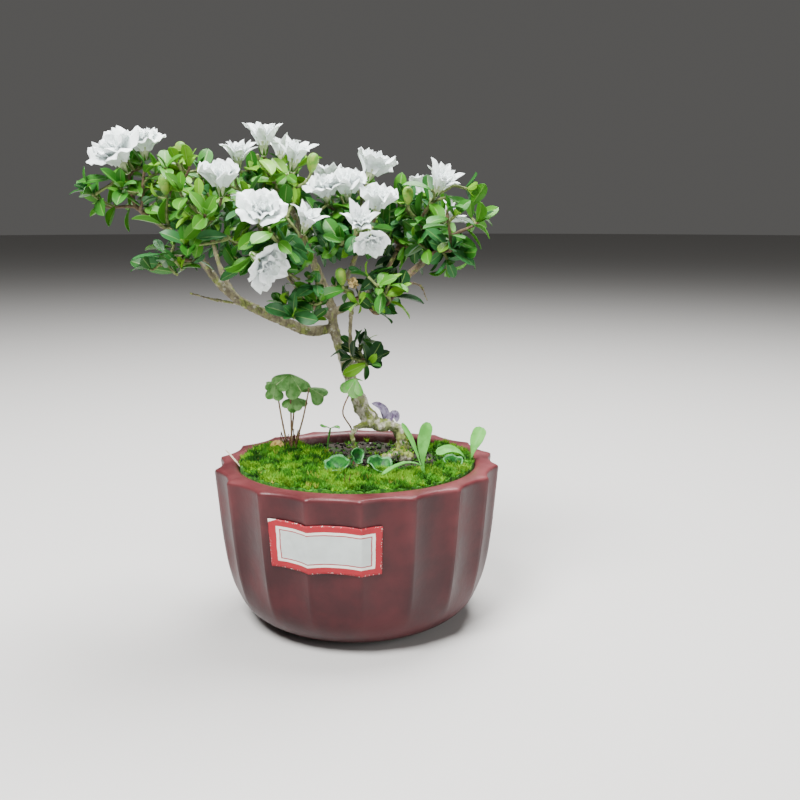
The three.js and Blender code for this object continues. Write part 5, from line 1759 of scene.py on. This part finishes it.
def flower_shape(form, seed, openness, radius):
    """A double flower: a tube, a calyx, and its whorls of petals."""
    random = Seeded(seed)
    pieces = []
    for number, (count, reach, width, start, tilts, ruffle) in enumerate(WHORLS[form]):
        for k in range(count):
            length = radius * reach * random(0.9, 1.08)
            bent = (tilts[0] + random(-6, 6), tilts[1] * openness + random(-16, 16))
            petal = petal_shape(form, length, width * random(0.9, 1.1), start, bent,
                                ruffle * random(0.7, 1.3), random(0, 6))
            angle = 2 * math.pi * (k + 0.5 * number) / count + random(-0.14, 0.14)
            pieces.append(petal.placed(around(angle, 1), around(angle + math.pi / 2, 1), (0, 0, 1)))
    throat = stalk([(0, 0, height) for height in THROAT_HEIGHTS], THROAT_RADII, 12, 8)
    pieces.append(throat.finished(1))
    for k in range(SEPALS):
        out = around(2 * math.pi * k / SEPALS + 0.3, 1)
        line = [out * reach + (0, 0, height) for reach, height in SEPAL_LINE]
        pieces.append(strap(line, lambda v: 0.42 * (1 - v) ** 0.7 + 0.02, out, 0.1, 0.12, 2, 4).finished(2))
    return Shape.joined(pieces)


def bud_shape(closed):
    """A plump bud with the seams of its folded petals."""
    bud = added(bpy.ops.mesh.primitive_uv_sphere_add, segments=20, ring_count=12, radius=1)
    for vertex in bud.data.vertices:
        x, y, z = vertex.co
        angle = math.atan2(y, x) + 0.5 * z
        seam = 1 - 0.16 * abs(math.cos(2.5 * angle)) ** 4 * (1 - abs(z))
        plump = (1 + 0.25 * z) * seam
        vertex.co = Vector((x * plump * 1.9, y * plump * 1.9, (z + 1) * closed / 2))
    return Shape.of_object(bud)


PETAL_SCATTER = {"Subsurface_Weight": 0.2, "Subsurface_Radius": (1, 1, 1), "Subsurface_Scale": 0.001}


class BONSAI_OT_blossom(Operator):
    """Set the double flowers and the buds on their twigs"""

    bl_idname = "bonsai.blossom"
    bl_label = "Blossom"

    def execute(self, context):
        settings = context.scene.bonsai_blossom
        radius = settings.radius / MM
        kinds = {form: [flower_shape(form, *row, radius) for row in rows] for form, rows in FLOWERS.items()}
        bud = bud_shape(6.4)
        random = Seeded(17)
        flowers, buds = [], []
        for twigs, _ in grown_tree():
            for twig in twigs:
                if twig.kind == "bud" or twig.form == "bud":
                    buds.append(bud.along(twig.axis, twig.end, random(0.85, 1), random() * 6))
                elif twig.kind == "bloom":
                    kind = kinds[twig.form][int(random() * len(kinds[twig.form]))]
                    size = twig.size * random(0.94, 1.04)
                    flowers.append(kind.along(twig.axis, twig.end, size, random() * 6))
        petal = living("white petal", settings.petal, settings.cream, 2.4, 0.55, **PETAL_SCATTER)
        # The tube's green-cream is partly painted shade deep inside the flower
        heart = living("green-white heart", settings.heart, 0.7, 1, 0.5)
        calyx = living("calyx", settings.calyx, 0.5, 1, 0.5)
        skin = living("bud", settings.bud, settings.calyx, 1.6, 0.45)
        add_piece("blossom", flowers, [petal, heart, calyx], "blossom")
        add_piece("buds", buds, [skin], "blossom")
        return {"FINISHED"}


# Small plants and what has fallen

def clover_leaflet(fold, droop):
    """A leaflet of unit length: a wedge that widens into two round lobes, with a paler middle line."""
    lobe, side, ahead = 0.33, 0.25, 0.67
    far = math.hypot(side, ahead)
    slant = math.atan2(side, ahead)
    widest = slant + math.asin(lobe / far)

    def surface(u, v):
        angle = abs(u) * widest
        within = max(0, lobe**2 - (far * math.sin(angle - slant)) ** 2)
        reach = v * (far * math.cos(angle - slant) + math.sqrt(within))
        x, y = math.copysign(reach * math.sin(angle), u), reach * math.cos(angle)
        return (x, y, -fold * abs(x) ** 1.2 - droop * (v * v + 0.5 * x * x))

    right = [0.035, 0.2, 0.42, 0.66, 0.84, 0.94, 0.985, 1]
    left = [-u for u in reversed(right)]
    return blade(left + right, even(8), surface, 0.02, ribs=(7,))


# Clover leaves by their stalks' tops: the ways that each leaflet points and faces, and its length
CLOVER_FOOT = (-23.3, 15.6, 51.8)
CLOVER_LEAVES = {
    (-28.2, 13, 77.4): [
        ((-0.2, -0.45, -0.9), (-0.1, -0.85, 0.5), 5.8), ((-0.9, 0.1, 0.1), (-0.2, -0.6, 0.8), 3.8),
    ],
    (-23.1, 11, 81.2): [
        ((-0.8, -0.4, -0.5), (-0.1, -0.75, 0.65), 6.6), ((0.6, -0.45, -0.75), (0.1, -0.8, 0.6), 8.2),
        ((0.1, 0.95, -0.25), (0, 0.3, 0.95), 6),
    ],
    (-16.4, 8, 76.8): [
        ((0.9, -0.3, -0.4), (0.1, -0.8, 0.6), 6.4), ((-0.3, 0.9, -0.3), (0, 0.3, 0.95), 5),
    ],
    (-21.6, 12, 72.8): [
        ((-0.6, -0.35, -0.7), (-0.1, -0.9, 0.35), 5.2), ((0.6, -0.4, -0.65), (0.2, -0.85, 0.4), 4.8),
        ((0.1, 0.9, -0.3), (0, 0.3, 0.95), 4.6),
    ],
}

# The clover leaf by the trunk, in the same way, and the points that its stalk passes
LONE_CLOVER_LEAF = {
    (-0.2, -7, 82.6): [
        ((-0.55, -0.35, -0.8), (-0.1, -0.85, 0.45), 6.3), ((0.62, -0.1, -0.8), (0.92, -0.2, 0.4), 5.6),
        ((-0.2, 0.9, -0.1), (0, -0.1, 0.95), 5.2),
    ],
}
LONE_CLOVER_STALK = [
    (-1.4, 3, 51), (-1.2, 2.6, 58), (-2, 0.6, 64), (-3.6, -2.4, 67.4), (-4.7, -5.4, 70.4), (-4.4, -6.6, 73),
    (-2.4, -6.9, 77.5), *LONE_CLOVER_LEAF,
]

# Seedlings' leaves: the half width of each, the way that it faces and the points that it passes
SEEDLINGS = {
    "sprout_front": [
        (2.05, (0.1, -0.95, 0.2),
         [(21.7, -21.4, 52), (20.9, -21.2, 58.3), (21.2, -20.6, 64.8), (22.6, -20, 70.4)]),
        (0.8, (0, -0.3, 1),
         [(21.6, -21.4, 52.6), (20, -22, 56.9), (15.8, -23, 58), (11.6, -24.5, 57), (7.6, -26, 54.9)]),
        (0.85, (-0.6, -0.7, 0.4),
         [(21.2, -20.8, 53), (19.5, -18.6, 59), (17.1, -16, 65), (14.6, -13.6, 68.8)]),
    ],
    "sprout_right": [
        (2.35, (-0.3, -0.9, 0.3), [(38.3, -4, 52), (39.4, -3, 56.9), (41, -1.4, 60.8), (42.6, 0, 64)]),
        (1.7, (0, -0.6, 0.8), [(37.8, -4.2, 52.4), (34.6, -5.4, 56.6), (30.6, -6.8, 58.2), (26.4, -8, 57)]),
    ],
    "sprout_back": [
        (0.35, (0, -0.9, 0.4), [(-11, 18, 51), (-10.6, 18.2, 55), (-10, 18.4, 58), (-9.6, 18.6, 60.2)]),
        (0.7, (0, -0.5, 0.9), [(-9.6, 18.6, 60), (-10.6, 18.2, 60.6), (-12, 17.4, 61), (-13.2, 17, 61.6)]),
        (0.7, (0, -0.5, 0.9), [(-9.6, 18.6, 60), (-8.6, 18.8, 60.4), (-7.4, 19.2, 60.4), (-6.2, 19.6, 60)]),
    ],
}

# Small round leaves: a foot, a middle, the way that each faces, and its width
ROUND_LEAVES = [
    ((-5, -17, 51), (-6.2, -17.6, 54.6), (-0.2, -0.45, 0.87), 8.4),
    ((-4, -13, 51), (-1.2, -13.4, 57.8), (0.75, -0.6, 0.3), 5.8),
    ((5, -17, 51), (6.8, -17.6, 54.4), (0.25, -0.4, 0.87), 8.4),
    ((31, -10, 51), (31.5, -10, 53.4), (0.1, -0.5, 0.85), 6.6),
]


def seedling_half_width(widest):
    """Narrow for its first third, widest near the end, and blunt."""

    def half_width(v):
        body = (0.16 + 0.84 * smooth_step(v, 0.2, 0.72)) * widest
        return body * math.sqrt(max(0.02, 1 - max(0, (v - 0.86) / 0.15) ** 2))

    return half_width


class BONSAI_OT_small_plants(Operator):
    """Make the clover, the seedlings and the small round leaves in the moss"""

    bl_idname = "bonsai.small_plants"
    bl_label = "Small plants"

    def execute(self, context):
        ground = context.scene.bonsai_ground
        self.make_clover(ground)
        self.make_seedlings(ground)
        self.make_round_leaves(ground)
        return {"FINISHED"}

    def make_clover(self, ground):
        wiry = living("clover stalk", (0.34, 0.25, 0.13), (0.2, 0.1, 0.06), 1.5)
        leaf = living("clover leaf", ground.clover, ground.clover_shade, 2.5)
        edge = living("clover leaf edge", ground.clover_edge, ground.clover, 1.5)
        young = living("young clover leaf", ground.clover_young, ground.clover, 2.5)
        random = Seeded(29)
        stalks = []
        for top in CLOVER_LEAVES:
            foot = point_of(CLOVER_FOOT) + (random(-1.2, 1.2), random(-1.2, 1.2), 0)
            middle = (foot + top) / 2 + (0.12 * (top[0] - foot[0]), random(-1, 1), 1)
            stalks.append(stalk([foot, middle, top], [0.4, 0.34, 0.28], 6, 14))
        add_piece("clover_stalks", stalks, [wiry], "clover_leaf", "clover")
        add_piece("clover_leaves", self.leaflets(CLOVER_LEAVES), [leaf, edge], "clover_leaf", "clover")
        lone = [stalk(LONE_CLOVER_STALK, [0.32, 0.24], 6, 24).finished(2), *self.leaflets(LONE_CLOVER_LEAF)]
        add_piece("clover_by_trunk_leaves", lone, [young, edge, wiry], "clover_leaf", "clover_by_trunk")

    def leaflets(self, leaves):
        """The leaflets of every leaf, flatter and more folded ones in turn."""
        shapes = [clover_leaflet(0.22, 0.12), clover_leaflet(0.4, 0.2)]
        rows = [(top, *row) for top, found in leaves.items() for row in found]
        placed = []
        for number, (top, way, facing, size) in enumerate(rows):
            way = unit(way)
            placed.append(shapes[number % 2].laid(way, squared(facing, way), size, top))
        return placed

    def make_seedlings(self, ground):
        mint = living("mint seedling", ground.mint, ground.mint_shade, 3)
        for name, rows in SEEDLINGS.items():
            leaves = [strap(points, seedling_half_width(widest), facing, 0.25, 0.22, rows=20)
                      for widest, facing, points in rows]
            add_piece(name + "_leaves", leaves, [mint], "sprout_leaf", name)

    def make_round_leaves(self, ground):
        """Cupped leaves, slit at their stalk, with a paler turned-up edge that is a painted highlight."""

        def surface(u, v):
            angle = 2 * math.pi * (0.008 + 0.984 * v)
            wave = (0.05 * math.sin(4 * angle + 1) + 0.03 * math.sin(7 * angle)) * u * u
            spread = u * (1 + 0.06 * math.sin(3 * angle + 2))
            across, ahead = 0.5 * spread * math.sin(angle), -0.46 * spread * math.cos(angle)
            return (across, 0.46 + ahead, 0.34 * u**2 + wave)

        cup = blade([0.03, 0.35, 0.6, 0.78, 0.9, 1], even(28), surface, 0.035, ribs=(4,))
        pieces = []
        for foot, middle, facing, size in ROUND_LEAVES:
            upper = unit(facing)
            way = squared((0, 0, 1), upper)
            halfway = (point_of(foot) + middle) / 2 + (0.3, -0.3, 0.2)
            pieces.append(stalk([foot, halfway, middle], [0.35, 0.3], 6, 8))
            pieces.append(cup.laid(way, upper, size, middle - way * size * 0.46))
        leaf = living("round leaf", ground.round_leaf, ground.round_leaf_shade, 2.5)
        # The paler outer ring is a painted highlight where light catches the turned-up edge
        edge = living("round leaf edge", ground.round_leaf_edge, ground.round_leaf, 1.5)
        add_piece("round_leaves", pieces, [leaf, edge], "sprout_leaf")


# Fallen petals: the points that each passes, its half width and the way that it faces
FALLEN_PETALS = [
    ([(9.4, 0.6, 66.6), (8.9, 0.4, 69.2), (7.2, 0.6, 71.6), (5, 1, 72.6)], 1.9, (0.8, -0.55, 0.3)),
    ([(9.6, 0.8, 66.6), (9.4, 0.9, 69), (8.4, 1.2, 71.2), (7, 1.8, 72.4)], 1.5, (0.3, -0.9, 0.3)),
    ([(10, 0.2, 66.6), (11.4, 0.2, 67.8), (12.1, 0.6, 69), (12.3, 0.8, 70.2)], 1.4, (-0.4, -0.8, 0.4)),
    ([(12.2, 0.9, 70), (12.8, 0.4, 69), (13.3, 0.1, 67.6), (13.6, 0, 66.2)], 1.3, (0.5, -0.8, 0.3)),
]
PALE_STALK = [(-44.2, -3, 57.8), (-42.6, -4, 56.4), (-40.6, -5.2, 54.4), (-38.4, -6.6, 52.4)]
DRY_LEAF = [(-30.4, 13, 52.6), (-29.4, 12.6, 55.2), (-27.4, 12, 56), (-26, 11.6, 54.4)]
# Dry stalks: the middle of their clump and their number, and the places of the two by the pot's front
DRY_CLUMP = (-24, 14, 51.5)
DRY_STALKS = 16
FRONT_STALKS = (-3.9, -2.3)
WITHERED_PETALS = 26


class BONSAI_OT_fallen(Operator):
    """Make the fallen petals, the pale stalk on the rim, dry stalks and the withered flower"""

    bl_idname = "bonsai.fallen"
    bl_label = "Fallen petals and dry stalks"

    def execute(self, context):
        self.make_petals()
        self.make_stalks()
        self.make_withered(context.scene.bonsai_blossom.withered)
        return {"FINISHED"}

    def make_petals(self):
        pieces = []
        for points, widest, facing in FALLEN_PETALS:

            def half_width(v):
                return widest * math.sin(math.pi * min(1, v**0.8)) ** 0.7 + 0.04

            pieces.append(strap(points, half_width, facing, 0.5, 0.16))
        violet = living("faded violet petal", (0.34, 0.3, 0.42), (0.12, 0.08, 0.16), 1.6)
        add_piece("fallen_petals", pieces, [violet], "fallen_petal", "petals")

    def make_stalks(self):
        husk = living("pale stalk", (0.62, 0.55, 0.42), (0.42, 0.34, 0.2), 1.2)
        add_piece("pale_stalk", [stalk(PALE_STALK, [0.14, 0.3, 0.34, 0.26], 6, 18)], [husk], "moss")
        random = Seeded(61)
        dry = []
        for _ in range(DRY_STALKS):
            foot = point_of(DRY_CLUMP) + (random(-2.4, 2.4), random(-2.4, 2.4), 0)
            top = foot + (random(-2.6, 2.6), random(-2.6, 2.6), random(4, 10))
            halfway = (foot + top) / 2 + (random(-1, 1), random(-1, 1), 0)
            dry.append(stalk([foot, halfway, top], [0.3, 0.16], 5, 8))
        for x in FRONT_STALKS:
            points = [(x, -33, 52.4), (x - 0.3, -33, 54.8), (x + 0.2, -33.2, 57.2)]
            dry.append(stalk(points, [0.16, 0.14], 5, 8))
        brown = living("dry stalk", (0.17, 0.08, 0.05), (0.07, 0.03, 0.02), 1, 0.7)
        add_piece("dry_stalks", dry, [brown], "moss")

        def half_width(v):
            return 1.3 * math.sin(math.pi * min(1, v + 0.02)) ** 0.7 + 0.05

        golden = living("dry leaf", (0.56, 0.42, 0.12), (0.3, 0.17, 0.05), 1.2)
        add_piece("dry_leaf", [strap(DRY_LEAF, half_width, (0, -0.5, 0.8), 0.6, 0.16)], [golden], "moss")

    def make_withered(self, colour):
        random = Seeded(83)
        scrap = petal_shape("torn", 2.1, 1.7, (0.2, 0), (20, 120), 0.35, 1)
        pieces = []
        for _ in range(WITHERED_PETALS):
            way = unit(random.direction() + (0, -0.3, 0.6))
            pieces.append(scrap.along(way, WITHERED + way * random(0.1, 1.1), random(0.5, 0.9), random() * 6))
        brown = living("withered petal", colour, 0.4, 0.9, 0.8)
        add_piece("withered_flower", pieces, [brown], "blossom")


# Stage

FLOOR_RADIUS = 6
WORLD_STRENGTH = 0.2
FILL_SHARE = 0.14
LIGHTS_AIM = (-0.01, 0, 0.08)
CAMERA_PLACE = (0, -0.3187, 0.1363)
CAMERA_TURN = (78.92, 0, -2.62)


class BONSAI_OT_stage(Operator):
    """Lay the pale floor and set the soft lights and the camera"""

    bl_idname = "bonsai.stage"
    bl_label = "Floor, lights and camera"

    def execute(self, context):
        stage = context.scene.bonsai_stage
        floor = added(bpy.ops.mesh.primitive_circle_add, vertices=96, radius=FLOOR_RADIUS,
                      fill_type="NGON", location=(0, 0, -0.0002))
        floor.name = "floor"
        floor.data.materials.append(plain("pale floor", stage.floor, 0.85))
        world = bpy.data.worlds.new("studio")
        world.use_nodes = True
        background = world.node_tree.nodes["Background"].inputs
        background["Color"].default_value = (*stage.floor, 1)
        background["Strength"].default_value = WORLD_STRENGTH
        context.scene.world = world
        lights = [
            ("key", (-0.25, -0.38, 0.75), 0.36, stage.key_power),
            ("top", (0.12, 0.2, 0.8), 0.5, stage.key_power),
            ("fill", (0.6, -0.45, 0.3), 0.5, stage.key_power * FILL_SHARE),
        ]
        for name, place, size, power in lights:
            self.add_light(name, place, size, power)
        data = bpy.data.cameras.new("camera")
        data.lens = stage.lens
        data.sensor_width = 36
        data.clip_start = 0.01
        camera = bpy.data.objects.new("camera", data)
        camera.location = CAMERA_PLACE
        camera.rotation_euler = [math.radians(angle) for angle in CAMERA_TURN]
        context.scene.collection.objects.link(camera)
        context.scene.camera = camera
        return {"FINISHED"}

    def add_light(self, name, place, size, power):
        light = added(bpy.ops.object.light_add, type="AREA", location=place)
        light.name = name
        light.data.shape = "DISK"
        light.data.size = size
        light.data.energy = power
        aim = Vector(LIGHTS_AIM) - Vector(place)
        light.rotation_euler = aim.to_track_quat("-Z", "Y").to_euler()


PIECES = [
    BONSAI_OT_pot, BONSAI_OT_label, BONSAI_OT_soil, BONSAI_OT_moss, BONSAI_OT_limbs, BONSAI_OT_foliage,
    BONSAI_OT_blossom, BONSAI_OT_small_plants, BONSAI_OT_fallen, BONSAI_OT_stage,
]


class BONSAI_PT_panel(Panel):
    """The bonsai's settings and pieces"""

    bl_idname = "BONSAI_PT_panel"
    bl_label = "Flowering Bonsai"
    bl_space_type = "VIEW_3D"
    bl_region_type = "UI"
    bl_category = "Bonsai"

    def draw(self, context):
        for piece in PIECES:
            self.layout.operator(piece.bl_idname)
        for name, _ in SETTINGS:
            box = self.layout.box()
            group = getattr(context.scene, name)
            for key in group.__annotations__:
                box.prop(group, key)


SETTINGS = [
    ("bonsai_pot", BonsaiPotSettings), ("bonsai_label", BonsaiLabelSettings),
    ("bonsai_bark", BonsaiBarkSettings), ("bonsai_leaves", BonsaiLeafSettings),
    ("bonsai_blossom", BonsaiBlossomSettings), ("bonsai_ground", BonsaiGroundSettings),
    ("bonsai_stage", BonsaiStageSettings),
]


def register():
    for name, group in SETTINGS:
        bpy.utils.register_class(group)
        setattr(bpy.types.Scene, name, PointerProperty(type=group))
    for piece in PIECES:
        bpy.utils.register_class(piece)
    bpy.utils.register_class(BONSAI_PT_panel)


def unregister():
    bpy.utils.unregister_class(BONSAI_PT_panel)
    for piece in reversed(PIECES):
        bpy.utils.unregister_class(piece)
    for name, group in reversed(SETTINGS):
        delattr(bpy.types.Scene, name)
        bpy.utils.unregister_class(group)


def main():
    register()
    for piece in PIECES:
        group, name = piece.bl_idname.split(".")
        getattr(getattr(bpy.ops, group), name)()


if __name__ == "__main__":
    main()
